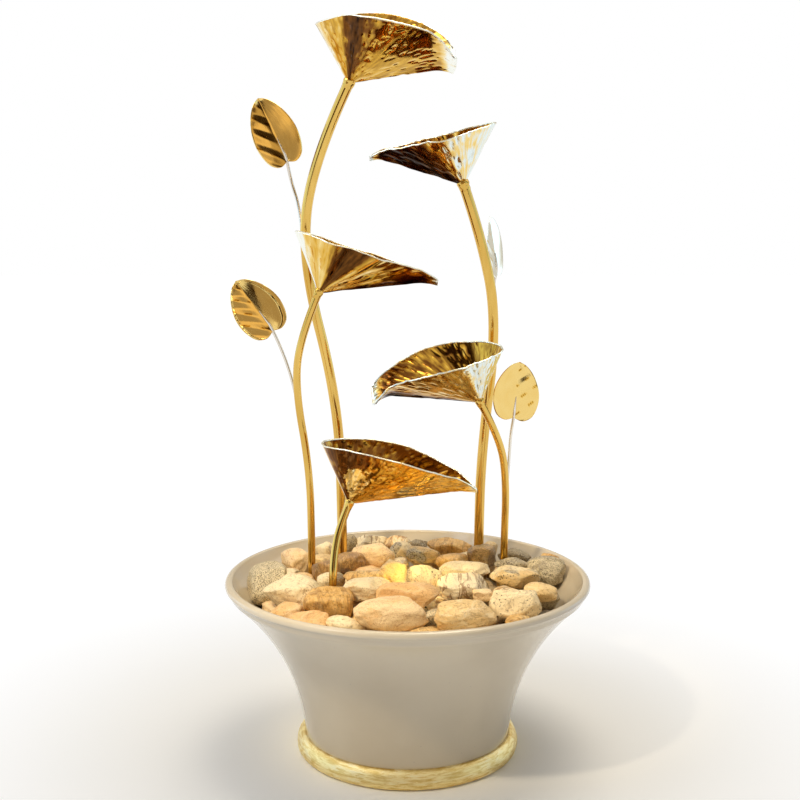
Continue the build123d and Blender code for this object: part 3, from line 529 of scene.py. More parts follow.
# %% Plastics, rubbers and plain metals
def moulded(name, colour, rough=0.4, grain=900.0, depth=0.00012):
    """Plastic or rubber with the fine texture of its mould."""
    finish = Finish(name)
    place = finish.place()
    skin = finish.clouds(place, grain, 2.0)
    wear = finish.clouds(place, 22.0, 3.0)
    lighter = tuple(min(1.0, channel * 1.25 + 0.01) for channel in colour)
    return finish.shade(
        base_color=finish.mix(wear.rise(0.45, 0.75), colour, lighter),
        roughness=rough + wear * 0.15,
        normal=finish.bump(skin, 0.3, depth),
    )


def plain_metal(name, dark, light, rough=0.25):
    """Turned or drawn metal with faint lines along its height."""
    finish = Finish(name)
    place = finish.place()
    lines = finish.clouds(finish.stretch(place, 0.2, 0.2, 3), 420.0, 3.0)
    return finish.shade(
        base_color=finish.mix(lines.rise(0.35, 0.65), dark, light),
        metallic=1.0,
        roughness=rough + lines * 0.15,
        normal=finish.bump(lines, 0.15, 0.0002),
    )


def see_through(name, colour, rough, index):
    """Clear glass or soft clear plastic."""
    finish = Finish(name)
    haze = finish.clouds(finish.place(), 60.0, 2.0)
    return finish.shade(
        base_color=finish.mix(haze, colour, tuple(channel * 0.94 for channel in colour)),
        roughness=rough + haze * 0.08,
        transmission_weight=0.9,
        IOR=index,
    )


def led_yellow():
    """The small chips of the lamp, lit."""
    finish = Finish("led_yellow")
    core = finish.clouds(finish.place(), 300.0, 1.0)
    colour = finish.mix(core, (1.0, 0.62, 0.10), (1.0, 0.80, 0.30))
    return finish.shade(base_color=colour, emission_color=colour, emission_strength=6.0, roughness=0.3)


WORKS = {
    "stainless": plain_metal("stainless", (0.55, 0.55, 0.54), (0.74, 0.74, 0.73)),
    "black_rubber": moulded("black_rubber", (0.018, 0.018, 0.018), 0.65, 500.0, 0.0003),
    "socket_brass": plain_metal("socket_brass", (0.66, 0.46, 0.16), (0.86, 0.66, 0.30)),
    "clear_hose": see_through("clear_hose", (0.90, 0.95, 0.95), 0.12, 1.42),
    "white_plastic": moulded("white_plastic", (0.80, 0.80, 0.78), 0.35),
    "black_plastic": moulded("black_plastic", (0.022, 0.022, 0.024), 0.38),
    "grey_plastic": moulded("grey_plastic", (0.30, 0.31, 0.32), 0.42),
    "magnet": moulded("magnet", (0.06, 0.055, 0.055), 0.5, 300.0),
    "shaft_ceramic": moulded("shaft_ceramic", (0.78, 0.77, 0.73), 0.2, 600.0, 0.00004),
    "copper": plain_metal("copper", (0.62, 0.27, 0.13), (0.86, 0.45, 0.26), 0.2),
    "clear_rubber": see_through("clear_rubber", (0.86, 0.90, 0.88), 0.25, 1.45),
    "clear_glass": see_through("clear_glass", (0.97, 0.99, 0.98), 0.02, 1.5),
    "led_yellow": led_yellow(),
    "stem_brass": STEM_BRASS,
    "twig_brass": TWIG_BRASS,
    "glazed_ceramic": CERAMIC,
    "gilding": GOLD,
    "hammered_brass": HAMMERED,
    "pale_brass": PALE_SHEET,
    "leaf_brass": LEAF_BRASS,
}
WORKS.update({f"{kind}_stone": material for kind, material in STONES.items()})

for row in frame["record"]["subparts"]:
    node = frame["nodes"][row["node"]]
    node.data.materials.clear()
    node.data.materials.append(WORKS[row["material_slot"]])
print("finishes put on", len(frame["nodes"]), "nodes")

# %% [markdown]
# ## Bowl and foot ring
#
# Both are turned shapes, so one outline spun about the axis makes each of them. The bowl's flare
# is a single large arc, the inside is the same arc moved in by the wall, and the lip between
# them is rolled over.

# %% A turned shape from its outline
def wrapped_faces(rows, around):
    """Faces between rows of points that close on themselves, with a cap at each end."""
    faces = []
    for row in range(rows - 1):
        low, high = row * around, (row + 1) * around
        for step in range(around):
            after = (step + 1) % around
            faces.append((low + step, low + after, high + after, high + step))
    last = (rows - 1) * around
    return faces + [tuple(range(around))[::-1], tuple(range(last, last + around))]


def turned(name, outline, material, segments=256):
    """Spins (radius, height) points, in millimetres, about the fountain's axis."""
    vertices = []
    for radius, height in outline:
        for step in range(segments):
            angle = 2 * math.pi * step / segments
            vertices.append((radius * MM * math.cos(angle), radius * MM * math.sin(angle), height * MM))
    return mesh_piece(name, vertices, wrapped_faces(len(outline), segments), material)


def eased(points, steps=6):
    """A smooth line through the points, by Catmull-Rom spans."""
    line = []
    for index in range(len(points) - 1):
        before = np.array(points[max(index - 1, 0)])
        start, end = np.array(points[index]), np.array(points[index + 1])
        after = np.array(points[min(index + 2, len(points) - 1)])
        for step in range(steps):
            t = step / steps
            point = 0.5 * (
                2 * start
                + (end - before) * t
                + (2 * before - 5 * start + 4 * end - after) * t**2
                + (3 * start - before - 3 * end + after) * t**3
            )
            line.append(tuple(point))
    line.append(tuple(points[-1]))
    return line


print("three points eased into", len(eased([(0, 0), (1, 1), (2, 0)])))

# %% The bowl
FLARE_CENTRE = (295.2, -0.4)
FLARE_RADIUS = 202.0
WALL = 7.5
LIP = [(165, 157.4), (164.2, 160.4), (161.4, 162), (158.8, 161.4), (157.2, 159.2)]


def flare(height, inward=0.0):
    """Radius of the flared wall at a height; inward moves from the outside face into the wall."""
    reach = (FLARE_RADIUS + inward) ** 2 - (height - FLARE_CENTRE[1]) ** 2
    return FLARE_CENTRE[0] - math.sqrt(reach)


outside = [(flare(height), height) for height in np.linspace(2, 150, 60)]
inside = [(flare(height, WALL), height) for height in np.linspace(153, 24, 50)]
lip = eased([outside[-2], outside[-1], (162.6, 154.6), *LIP, inside[0], inside[1]], 8)[8:-8]
floor_line = eased([inside[-1], (84, 15.2), (78, 12.2), (70, 12), (0.5, 12)], 6)[1:]
foot_line = [(0.5, 4), (78, 4), (80, 3.6), (81.5, 0.6), (83, 0), (flare(2) - 1.2, 0), (flare(2), 1.0)]
bowl = turned("glazed_bowl", foot_line + outside[:-1] + lip + inside[1:] + floor_line, CERAMIC)
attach(bowl, "base")
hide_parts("bowl")
print("bowl", len(bowl.data.vertices), "points")

# %% The gilded foot ring
RING_TOP = 17.2
RING_REACH = 102.0
neck = flare(RING_TOP) + 0.1
ring_line = eased(
    [
        (neck, RING_TOP),
        (neck + 2.4, RING_TOP - 0.2),
        (neck + 5.2, RING_TOP - 2.8),
        (RING_REACH - 0.7, 10),
        (RING_REACH, 6),
        (RING_REACH - 1.2, 2),
        (RING_REACH - 4.5, 0.1),
        (RING_REACH - 6, 0),
    ],
    5,
)
ring = turned("gilded_foot_ring", ring_line[::-1] + [(neck - 0.4, RING_TOP - 0.4)], GOLD)

# The gesso under the gold is uneven, except where the ring stands on the table.
UNEVEN = 0.8 * MM
STEADY_BELOW = 3 * MM
for vertex in ring.data.vertices:
    rough = noise.noise(vertex.co * 70) * 0.5 + noise.noise(vertex.co * 240) * 0.25
    flat = Vector((vertex.co.x, vertex.co.y, 0)).normalized()
    vertex.co += flat * rough * UNEVEN * min(1, vertex.co.z / STEADY_BELOW)
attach(ring, "base")
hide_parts("foot_ring")
print("ring", len(ring.data.vertices), "points")

# %% [markdown]
# ## Tubes and rods
#
# The five water tubes and the four thin rods are bent by hand, so each is one smooth line
# through a few corner points. A curve object with a round bevel gives an even tube.

# %% A bent tube
def bent_tube(name, points, outside, material, taper=None):
    """A round tube along a smooth line; points and the outside diameter are in millimetres."""
    data = bpy.data.curves.new(name, "CURVE")
    data.dimensions = "3D"
    spline = data.splines.new("NURBS")
    spline.points.add(len(points) - 1)
    for index, point in enumerate(points):
        spline.points[index].co = (*(c * MM for c in point), 1)
        spline.points[index].radius = taper[index] if taper else 1.0
    spline.order_u = 3
    spline.use_endpoint_u = True
    spline.resolution_u = 24
    data.bevel_depth = outside / 2 * MM
    data.bevel_resolution = 8
    data.use_fill_caps = True
    data.materials.append(material)
    piece = bpy.data.objects.new(name, data)
    bpy.context.scene.collection.objects.link(piece)
    return piece


# Each tube stands in its socket under the stones and ends inside its cup's solder.
TALL_TUBE = 9.5
SHORT_TUBE = 7.0
STEMS = {
    "top": (
        TALL_TUBE,
        [(-63, 80, 121), (-63, 80, 190), (-65.5, 64, 312), (-98, 47, 448), (-85, 39, 536), (-50.5, 30, 605)],
    ),
    "upper_right": (
        TALL_TUBE,
        [(70, 79, 121), (70, 79, 176), (71.5, 72, 262), (84, 52, 388), (66, 37, 470), (49, 30, 516)],
    ),
    "left": (
        SHORT_TUBE,
        [
            (-90, 38, 121), (-90, 38, 180), (-90.5, 30, 252),
            (-103, 22, 334), (-95.5, 18, 380), (-78.5, 15, 420),
        ],
    ),
    "right": (
        SHORT_TUBE,
        [(92.5, 53, 121), (92.5, 53, 172), (93, 40, 240), (85, 26, 284), (64, 14, 321)],
    ),
    "front": (
        SHORT_TUBE,
        [(-67, -30, 121), (-67, -30, 160), (-65.5, -18, 188), (-60.5, -9, 210), (-51, -5, 232)],
    ),
}
for name, (outside_size, points) in STEMS.items():
    tube = bent_tube(f"{name}_water_tube", points, outside_size, STEM_BRASS)
    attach(tube, f"{name}_stem_body")
    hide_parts(f"{name}_stem")
print(len(STEMS), "water tubes")

# %% [markdown]
# ## The beaten cups
#
# A cup starts as a leaf of sheet brass, folded along its middle into a cone that is closed at
# the back and open at the spout. Seen as a surface it needs two numbers: how far round the
# outline a point is, and how far from the stem to the rim. The dents, pleats and colours are
# all laid out in those two numbers, and the rim is rolled over a wire.

# %% The outline of a folded cup
WIDEST = 0.36
POINT_SLOPE = -0.34


def cubic_span(t, size, start, end, leaving, arriving):
    """A point on a cubic between two points with a set direction at each of them."""
    return (
        (2 * t**3 - 3 * t**2 + 1) * start
        + (t**3 - 2 * t**2 + t) * size * leaving
        + (3 * t**2 - 2 * t**3) * end
        + (t**3 - t**2) * size * arriving
    )


def half_outline(length, width, count):
    """One side of the leaf outline, from the heel past the widest place to the point."""
    start, middle, end = np.array([0.0, 0.0]), np.array([WIDEST * length, width / 2]), np.array([length, 0.0])
    leaving = np.array([0.0, 1.0])
    arriving = np.array([1.0, POINT_SLOPE]) / math.hypot(1.0, POINT_SLOPE)
    first, second = np.linalg.norm(middle - start), np.linalg.norm(end - middle)
    coming, going = (middle - start) / first, (end - middle) / second
    through = 3 * (second * coming + first * going) - second * leaving - first * arriving
    through = through / (2 * (first + second))
    points = []
    for travelled in np.linspace(0, first + second, count):
        if travelled <= first:
            points.append(cubic_span(travelled / first, first, start, middle, leaving, through))
        else:
            points.append(cubic_span((travelled - first) / second, second, middle, end, through, arriving))
    return np.array(points)


def rim_scale(rays, heel, spout, lip, arch):
    """How far along each ray the rim's arc, seen from the side, cuts the cone."""
    ends = np.array([[-heel[0], heel[1]], [spout[0], spout[1] + lip]], float)
    top = ends.mean(0) + (0, arch)
    chord = ends[1] - ends[0]
    half = np.linalg.norm(chord) / 2
    # The circle through both ends and the raised middle, from its sagitta.
    across = np.array([-chord[1], chord[0]]) / (2 * half)
    sagitta = (top - ends.mean(0)) @ across
    radius = (half**2 + sagitta**2) / (2 * sagitta)
    centre = ends.mean(0) + across * (sagitta - radius)
    scale = np.full(len(rays), 1.0)
    for index, (x, z) in enumerate(rays[:, [0, 2]]):
        # Where the ray meets the rim's circle: its far side if the rim bows up, else its near side.
        a = x * x + z * z
        b = -2 * (x * centre[0] + z * centre[1])
        c = centre @ centre - radius**2
        root = b * b - 4 * a * c
        scale[index] = (-b + math.copysign(math.sqrt(max(root, 0)), sagitta)) / (2 * a)
        if x > 0:
            scale[index] = min(scale[index], spout[0] / x)
    return scale


print("outline of 100 mm:", half_outline(100, 60, 5).round(1).tolist())

# %% The smooth cone
ROUND = 360
ROWS = 96
FIRST_ROW = 0.035
ROW_SPACING = 0.9
PAST_SPOUT = 1.1


class Cone:
    """A cup before it is beaten, in millimetres: rows of points from the stem out to the rim."""

    def __init__(self, shape, near_rim):
        heel, spout = shape["heel"], shape["spout"]
        self.spout = spout[0]
        back = np.array([-heel[0], 0, heel[1]], float)
        point = np.array([spout[0], 0, spout[1]]) * PAST_SPOUT
        length = np.linalg.norm(point - back)
        half = half_outline(length, shape["width"], ROUND // 2 + 1)
        self.near = -1.0 if math.cos(math.radians(shape["aim"])) > 0 else 1.0
        crease = back + half[:, :1] * ((point - back) / length)
        beside = half[:, 1:] * np.array([0, self.near, 0])
        rays = np.concatenate([crease + beside, (crease - beside)[-2:0:-1]])

        # share runs from 0 at the heel to 1 at the spout, along both sides.
        self.share = np.concatenate([np.linspace(0, 1, len(half)), np.linspace(1, 0, len(half))[1:-1]])
        self.on_near = np.arange(len(rays)) < len(half)
        self.rim = rays * rim_scale(rays, heel, spout, shape["lip"], shape["arch"])[:, None]
        self.rim *= 1 + (near_rim - 1) * (np.sin(self.share * math.pi) * self.on_near)[:, None]

        # turn is the angle travelled round the cone, reach the distance from the stem.
        self.out = self.rim / np.linalg.norm(self.rim, axis=1)[:, None]
        steps = np.arccos(np.clip((self.out * np.roll(self.out, 1, 0)).sum(1), -1, 1))
        steps[0] = 0
        self.turn = np.cumsum(steps)
        self.rows = np.linspace(FIRST_ROW, 1, ROWS) ** ROW_SPACING
        self.points = self.rows[:, None, None] * self.rim[None]
        self.reach = np.linalg.norm(self.points, axis=2)

        normal = np.cross(np.roll(self.rim, -1, 0) - np.roll(self.rim, 1, 0), self.rim)
        normal /= np.maximum(np.linalg.norm(normal, axis=1), 1e-6)[:, None]
        outward = np.sign(((self.rim - self.rim.mean(0) * 0.9) * normal).sum(1))
        self.flip = 1.0 if outward.sum() > 0 else -1.0
        self.normal = normal * self.flip


print("a cone has", ROUND, "steps round the rim and", ROWS, "rows up to it")

# %% Dents left by the hammer
DENT_EDGE = 2.2


def hammer_dents(reach, turn, seed, count, long, wide):
    """Sum of oval dents over a sheet. reach is the distance from the stem, turn the angle about it."""
    chance = np.random.default_rng(seed)
    total = np.zeros_like(reach)
    far, round_to = reach.max(), turn.max()
    for _ in range(count):
        at = far * math.sqrt(chance.uniform(0.01, 1))
        heading = chance.uniform(0, round_to)
        size = chance.uniform(0.7, 1.35)
        along = (reach - at) / (long * size)
        beside = (turn - heading) * at / (wide * size)
        near = (abs(along) < DENT_EDGE) & (abs(beside) < DENT_EDGE)
        total[near] += chance.uniform(0.5, 1.0) * np.exp(-(along[near] ** 4) - beside[near] ** 2)
    return total


trial = hammer_dents(*np.meshgrid(np.linspace(0, 60, 90), np.linspace(0, 3, 60)), 1, 50, 4.0, 1.3)
print("deepest of 50 trial dents:", round(trial.max(), 2))

# %% Beating the cone
WAVES = 5


def beaten(cone, look, dents, seed):
    """The cone's points after the hammer, the pleats, the ridges of braze and the shaping of its spout."""
    lift = -dents * look["depth"]
    rows = cone.rows[:, None]
    chance = np.random.default_rng(seed + 1)
    for _ in range(WAVES):
        count = chance.integers(3, 12)
        high = chance.uniform(0.12, 0.34) * 5 / count
        lift += rows * high * np.sin(cone.turn[None] * count + chance.uniform(0, 6) + cone.reach * 0.02)
    for where, wide, high, which in look["pleats"]:
        band = np.exp(-(((cone.share - where) / wide) ** 2))
        lift += high * rows * (band * (cone.on_near if which == "near" else ~cone.on_near))[None]
    for where, wide, high, waver in look["ridges"]:
        path = where + waver * np.sin(cone.reach * 0.55) * 0.5 + waver * np.sin(cone.reach * 1.3 + 1)
        crest = np.exp(-(((cone.share[None] - path) / wide) ** 2))
        lift += high * crest * cone.on_near[None] * rows**0.3
    sheet = cone.points + lift[..., None] * cone.normal[None]

    # The last fifth curls down into a spout and spreads; the rim is left a little ruffled.
    past = np.clip((sheet[..., 0] - cone.spout * 0.80) / (cone.spout * 0.20), 0, 1.2)
    sheet[..., 2] -= look["curl"] * past**2
    sheet[..., 1] *= 1 + look["lips"] * past**2
    ruffle = 0.35 * np.sin(cone.share * 17 + seed) + 0.15 * np.sin(cone.share * 43 + seed)
    sheet[..., 2] += rows**6 * ruffle[None]
    return sheet


HALF_SHEET = 0.45
RIM_WIRE = 0.95
ROLL_STEPS = 10
ROLL_CLOSED = 0.92


def closed_sheet(cone, sheet):
    """Rows of points for the outer skin, the rim rolled over its wire, and the inner skin."""
    roll = []
    for step in range(1, ROLL_STEPS):
        angle = math.pi * 2 * step / ROLL_STEPS * ROLL_CLOSED
        swing = cone.normal * math.cos(angle) + cone.out * math.sin(angle)
        roll.append(sheet[-1] + swing * RIM_WIRE)
    thick = cone.normal[None] * HALF_SHEET
    return np.concatenate([sheet + thick, np.array(roll), (sheet - thick)[::-1]])


print("sheet", 2 * HALF_SHEET, "mm thick, rolled over a wire of", 2 * RIM_WIRE, "mm")

# %% Painted reflections and shade in the cups' colour
def patch_mask(cone, patch, seed):
    """True inside a jagged oval on the near side; the patch is its span along the rim and up the rows."""
    low, high, row_low, row_high = patch
    coarse = [[noise.noise(Vector((r * 9, u * 30, seed))) for u in cone.share[::4]] for r in cone.rows[::4]]
    jag = np.repeat(np.repeat(np.array(coarse), 4, 0)[:ROWS], 4, 1)[:, : len(cone.share)]
    middle, row_middle = (low + high) / 2, (row_low + row_high) / 2
    oval = ((cone.share[None] - middle) / (high - middle)) ** 2
    oval = oval + ((cone.rows[:, None] - row_middle) / (row_high - row_middle)) ** 2
    return (oval + jag * 0.9 < 1) & cone.on_near[None]


def painted_light_tints(cone, grid, look, dents, seed):
    """The tint of every point: 0 is near-black painted shade, a half is amber, and 1 is a pale painted
    reflection; the rolled rim and the spout's tip take painted highlights.
    """
    near, far, inside = (np.interp(cone.share, *zip(*look[side])) for side in ("near", "far", "inside"))
    outside = np.where(cone.on_near, near, far)
    blotch = np.array([noise.noise(Vector((angle * 2.3, seed, 0))) for angle in cone.turn])
    flecks = (np.clip(dents, 0, 1.4) - 0.45) * look["fleck"]
    # The rolled rim keeps a pale tint: a painted highlight along the rim.
    tints = np.full(grid.shape[:2], look["rim"])
    # The outer skin takes the painted reflections and shade laid out along its near and far sides.
    tints[:ROWS] = outside[None] + blotch[None] * 0.10 + flecks * (outside[None] > 0.2)
    for *patch, tone in look["patches"]:
        tints[:ROWS][patch_mask(cone, patch, seed)] = tone
    # The inner skin is darker: painted shade inside the cup.
    tints[-ROWS:] = inside[None] + flecks[::-1]
    # Towards the spout's tip every skin turns pale: a painted highlight on the beak.
    painted_spout_highlight = np.clip((grid[..., 0] - cone.spout * 0.90) / (cone.spout * 0.08), 0, 1)
    return tints * (1 - painted_spout_highlight) + look["beak_highlight"] * painted_spout_highlight


# 0 is near-black painted shade; 1 is a pale painted reflection.
print("tints run from 0, oxide, to 1, bare metal")

# %% A whole cup
def carry(piece, name, kind, values):
    """Writes a value on each point of a mesh, for its finish to read."""
    attribute = piece.data.attributes.new(name, kind, "POINT")
    attribute.data.foreach_set("vector" if kind == "FLOAT_VECTOR" else "value", np.ravel(values))


def turn_outwards(piece, weld=False):
    """Turns every face outwards, after joining the points that fell on each other when weld is set."""
    work = bmesh.new()
    work.from_mesh(piece.data)
    if weld:
        bmesh.ops.remove_doubles(work, verts=work.verts, dist=0.02 * MM)
    bmesh.ops.recalc_face_normals(work, faces=work.faces)
    work.to_mesh(piece.data)
    work.free()


def cup_frame(name, aim, lean, soldered=4.0):
    """The cup's matrix: at its tube's end, its x towards the spout, its z up and leant to the viewer."""
    aim, lean = math.radians(aim), math.radians(lean)
    forward = Vector((math.cos(aim), math.sin(aim), 0))
    up = Vector((0, -math.sin(lean), math.cos(lean)))
    up = (up - forward * up.dot(forward)).normalized()
    side = up.cross(forward)
    below, end = (Vector(point) for point in STEMS[name][1][-2:])
    origin = end - (end - below).normalized() * soldered
    turn = Matrix((forward, side, up)).transposed().to_4x4()
    return Matrix.Translation(origin) @ turn


SHEET_RADIUS = 46


def beaten_cup(name, shape, look, material, seed):
    """One cup as a closed sheet: outer skin, rolled rim, inner skin."""
    cone = Cone(shape, look["near_rim"])
    turns = np.broadcast_to(cone.turn, cone.reach.shape)
    dents = hammer_dents(cone.reach, turns, seed, look["dents"], look["long"], look["wide"])
    grid = closed_sheet(cone, beaten(cone, look, dents, seed))
    rows, around = grid.shape[:2]

    # Each point's place on the flat sheet, for streaks that follow the metal.
    place = np.zeros(grid.shape)
    place[..., 0] = np.linalg.norm(grid, axis=2)
    place[..., 1] = cone.turn[None] * SHEET_RADIUS
    place[..., 2] = seed * 7 + np.linspace(0, 9, rows)[:, None] * 0.01

    matrix = cup_frame(name, shape["aim"], shape["lean"])
    moved = [matrix @ Vector(point) * MM for point in grid.reshape(-1, 3)]
    faces = wrapped_faces(rows, around)
    if cone.flip * cone.near > 0:
        faces = [face[::-1] for face in faces]
    piece = mesh_piece(f"{name}_leaf_cup", moved, faces, material)
    carry(piece, "tint", "FLOAT", painted_light_tints(cone, grid, look, dents, seed))
    carry(piece, "beaten_place", "FLOAT_VECTOR", place)
    turn_outwards(piece)
    return piece


print("cups stand at", {name: STEMS[name][1][-1] for name in STEMS})

# %% How each cup is shaped and coloured
CUPS = {
    "top": dict(heel=(26, 50), spout=(92, 12), lip=17, arch=14, width=68, aim=-6, lean=14),
    "upper_right": dict(heel=(27, 55), spout=(84, 25), lip=4, arch=-3, width=62, aim=185, lean=7),
    "left": dict(heel=(19, 55), spout=(106, 11), lip=5, arch=-1, width=62, aim=-2, lean=1),
    "right": dict(heel=(18, 51), spout=(97, 9), lip=8, arch=7, width=64, aim=185, lean=12),
    "front": dict(heel=(24, 55), spout=(114, 14), lip=3, arch=10, width=64, aim=-2, lean=1),
}

# near, far and inside give the tint at shares of the way from the heel to the spout. Where they
# are pale they are painted reflections of the soft boxes; where they are brown or near-black they
# are painted shade, on the undersides, in pleat valleys and inside the cup. A pleat is
# (share, width, height, side), a ridge (share, width, height, waver), and a patch (its span along
# the rim, its span up the rows, tint); a patch is a painted reflection. rim is the rolled rim's
# tint and beak the tint at the spout's tip, both painted highlights.
PLAIN = dict(
    dents=520, long=4.2, wide=1.25, depth=0.42, fleck=0.16,
    near_rim=1.0, curl=5.0, lips=0.4, rim=0.90, beak_highlight=0.95,
    pleats=[], ridges=[], patches=[],
    far=[(0, 0.6), (0.5, 0.5), (1, 0.4)],
    inside=[(0, 0.34), (0.5, 0.40), (1, 0.28)],
)
LOOKS = {
    "top": PLAIN | dict(
        dents=700, long=3.2, near_rim=1.09,
        pleats=[
            (0.16, 0.05, 0.8, "near"),
            (0.30, 0.035, -2.2, "near"),
            (0.40, 0.06, 0.8, "near"),
            (0.3, 0.1, -1.5, "far"),
        ],
        near=[
            (0, 0.86), (0.12, 0.80), (0.17, 0.54), (0.26, 0.56), (0.30, 0.16),
            (0.34, 0.04), (0.38, 0.26), (0.44, 0.46), (0.75, 0.50), (1, 0.44),
        ],
    ),
    "upper_right": PLAIN | dict(
        dents=420, long=5.0, wide=1.5, depth=0.60, fleck=0.26,
        pleats=[(0.55, 0.05, -1.2, "near")],
        near=[
            (0, 1.0), (0.13, 1.0), (0.18, 0.92), (0.42, 0.86),
            (0.53, 0.50), (0.62, 0.16), (0.72, 0.02), (1, 0.05),
        ],
        inside=[(0, 0.5), (0.6, 0.2), (1, 0.15)],
    ),
    "left": PLAIN | dict(
        dents=300, long=7.0, wide=2.0, depth=0.45, near_rim=1.03, curl=4.0, lips=0.2,
        pleats=[
            (0.12, 0.03, 0.9, "near"),
            (0.40, 0.05, -2.0, "near"),
            (0.56, 0.05, 1.4, "near"),
            (0.72, 0.04, -0.8, "near"),
        ],
        near=[
            (0, 0.93), (0.12, 0.90), (0.16, 0.62), (0.30, 0.55), (0.36, 0.16), (0.48, 0.12),
            (0.53, 0.62), (0.63, 0.60), (0.70, 0.44), (0.82, 0.42), (0.93, 0.06), (1, 0.02),
        ],
    ),
    "right": PLAIN | dict(
        curl=10.0, lips=1.4,
        pleats=[(0.34, 0.03, 0.9, "near"), (0.6, 0.08, -0.8, "near")],
        ridges=[(0.33, 0.006, 0.9, 0.006)],
        near=[
            (0, 1.0), (0.08, 1.0), (0.14, 0.96), (0.30, 0.92), (0.36, 0.62),
            (0.70, 0.66), (0.86, 0.40), (0.93, 0.05), (1, 0.02),
        ],
        inside=[(0, 0.45), (0.3, 0.40), (0.6, 0.34), (1, 0.18)],
    ),
    "front": PLAIN | dict(
        dents=760, long=2.6, wide=1.4, depth=0.34, curl=3.0, lips=0.1,
        pleats=[(0.10, 0.03, 0.7, "near"), (0.22, 0.04, -1.6, "near")],
        patches=[(0.20, 0.40, 0.05, 0.72, 0.74)],
        near=[
            (0, 0.74), (0.06, 0.70), (0.10, 0.30), (0.20, 0.16), (0.32, 0.20),
            (0.38, 0.50), (0.70, 0.55), (0.92, 0.50), (1, 0.40),
        ],
        inside=[(0, 0.34), (0.4, 0.28), (1, 0.34)],
    ),
}
PALE_CUPS = ("upper_right", "right")
FIRST_SEED = 3
for seed, name in enumerate(CUPS, start=FIRST_SEED):
    sheet_brass = PALE_SHEET if name in PALE_CUPS else HAMMERED
    cup = beaten_cup(name, CUPS[name], LOOKS[name], sheet_brass, seed)
    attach(cup, f"{name}_stem_body")
    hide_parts(f"{name}_cup")
    print(name, "cup", len(cup.data.vertices), "points")

# %% Solder where each tube meets its cup
SOLDER_LENGTH = 7.0
SOLDER_ABOVE = 2.0
SOLDER_STEPS = 48
SOLDER_OUTLINE = [
    (-1.2, -3.0), (0.3, -1.8), (0.9, 0.2), (0.8, 1.8), (0.45, 3.6), (0.2, 5.4), (0.05, SOLDER_LENGTH),
]


def solder_fillet(name, tube_size, below, end):
    """A lumpy collar of solder around the last few millimetres of a tube."""
    turn = (Vector(end) - Vector(below)).normalized().to_track_quat("Z", "Y")
    rings = eased([(tube_size / 2 + out, -down) for out, down in SOLDER_OUTLINE], 4)
    vertices = []
    for radius, height in rings:
        for step in range(SOLDER_STEPS):
            angle = 2 * math.pi * step / SOLDER_STEPS
            spot = Vector((math.cos(angle), math.sin(angle), height * 0.2))
            lump = 1 + 0.10 * noise.noise(spot * 1.7 + Vector((radius, 0, len(name))))
            wide = radius * lump
            local = Vector((wide * math.cos(angle), wide * math.sin(angle), height - SOLDER_ABOVE))
            vertices.append((Vector(end) + turn @ local) * MM)
    faces = wrapped_faces(len(rings), SOLDER_STEPS)
    piece = mesh_piece(f"{name}_solder_fillet", vertices, faces, STEM_BRASS)
    turn_outwards(piece)
    return piece


for name, (tube_size, points) in STEMS.items():
    fillet = solder_fillet(name, tube_size, *points[-2:])
    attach(fillet, f"{name}_stem_body")

# %% [markdown]
# ## Small leaves on their rods
#
# Four small leaves are cut from the same sheet, creased along the middle and pressed over a
# fluted block. The flutes run out from the crease towards the tip, sharp on one half and
# shallow on the other.

# %% The fluted block
LEAF_EDGE = [
    (0, 0), (-0.045, 0.20), (0.05, 0.40), (0.28, 0.50), (0.52, 0.485), (0.76, 0.36), (0.93, 0.18), (1.0, 0.0),
]
FLUTE_PITCH = 0.27
FLUTE_SWEEP = 0.95
SHARP_FLUTE = 0.38
SOFT_FLUTE = 0.05
# How much darker the bottom of a sharp flute is made.
FLUTE_DARKENING = 0.55


def fluted(u, v, beside, length, sharp):
    """Height of the block, in millimetres, and how far along its flute a point is, from 0 to 1."""
    out = abs(v)
    along_flute = ((u * length - beside * FLUTE_SWEEP) / (length * FLUTE_PITCH)) % 1.0
    saw = abs(along_flute - 0.5) * 2
    crisp = SHARP_FLUTE if sharp else SOFT_FLUTE
    height = crisp * (saw - 0.5) * min(1, out * 3.5) * min(1, (1 - out) * 5 + 0.25)
    return height + 0.5 * math.sin(u * 5 + v * 2), along_flute


def stain(u, out, along_flute, seed):
    """Darker broken strokes along the bottom of a sharp flute."""
    streak = max(0, 1 - abs(along_flute - 0.12) / 0.09)
    return FLUTE_DARKENING * streak * min(1, 2 * max(0, math.sin(out * 6 + u * 17 + seed)))


print("flutes every", FLUTE_PITCH, "of a leaf's length")

# %% A pressed leaf
LEAF_STEPS = 64
LEAF_ACROSS = 33
HALF_LEAF = 0.28
LEAF_CURVE = 0.0033


def leaf_faces(rows):
    """Faces of the front and back skins and of the two long edges between them."""
    count = rows * LEAF_ACROSS
    faces = []
    for row in range(rows - 1):
        for step in range(LEAF_ACROSS - 1):
            a = row * LEAF_ACROSS + step
            quad = (a, a + 1, a + LEAF_ACROSS + 1, a + LEAF_ACROSS)
            faces += [quad, tuple(index + count for index in quad[::-1])]
    for row in range(rows - 1):
        for step in (0, LEAF_ACROSS - 1):
            a = row * LEAF_ACROSS + step
            faces.append((a, a + LEAF_ACROSS, a + LEAF_ACROSS + count, a + count))
    return faces


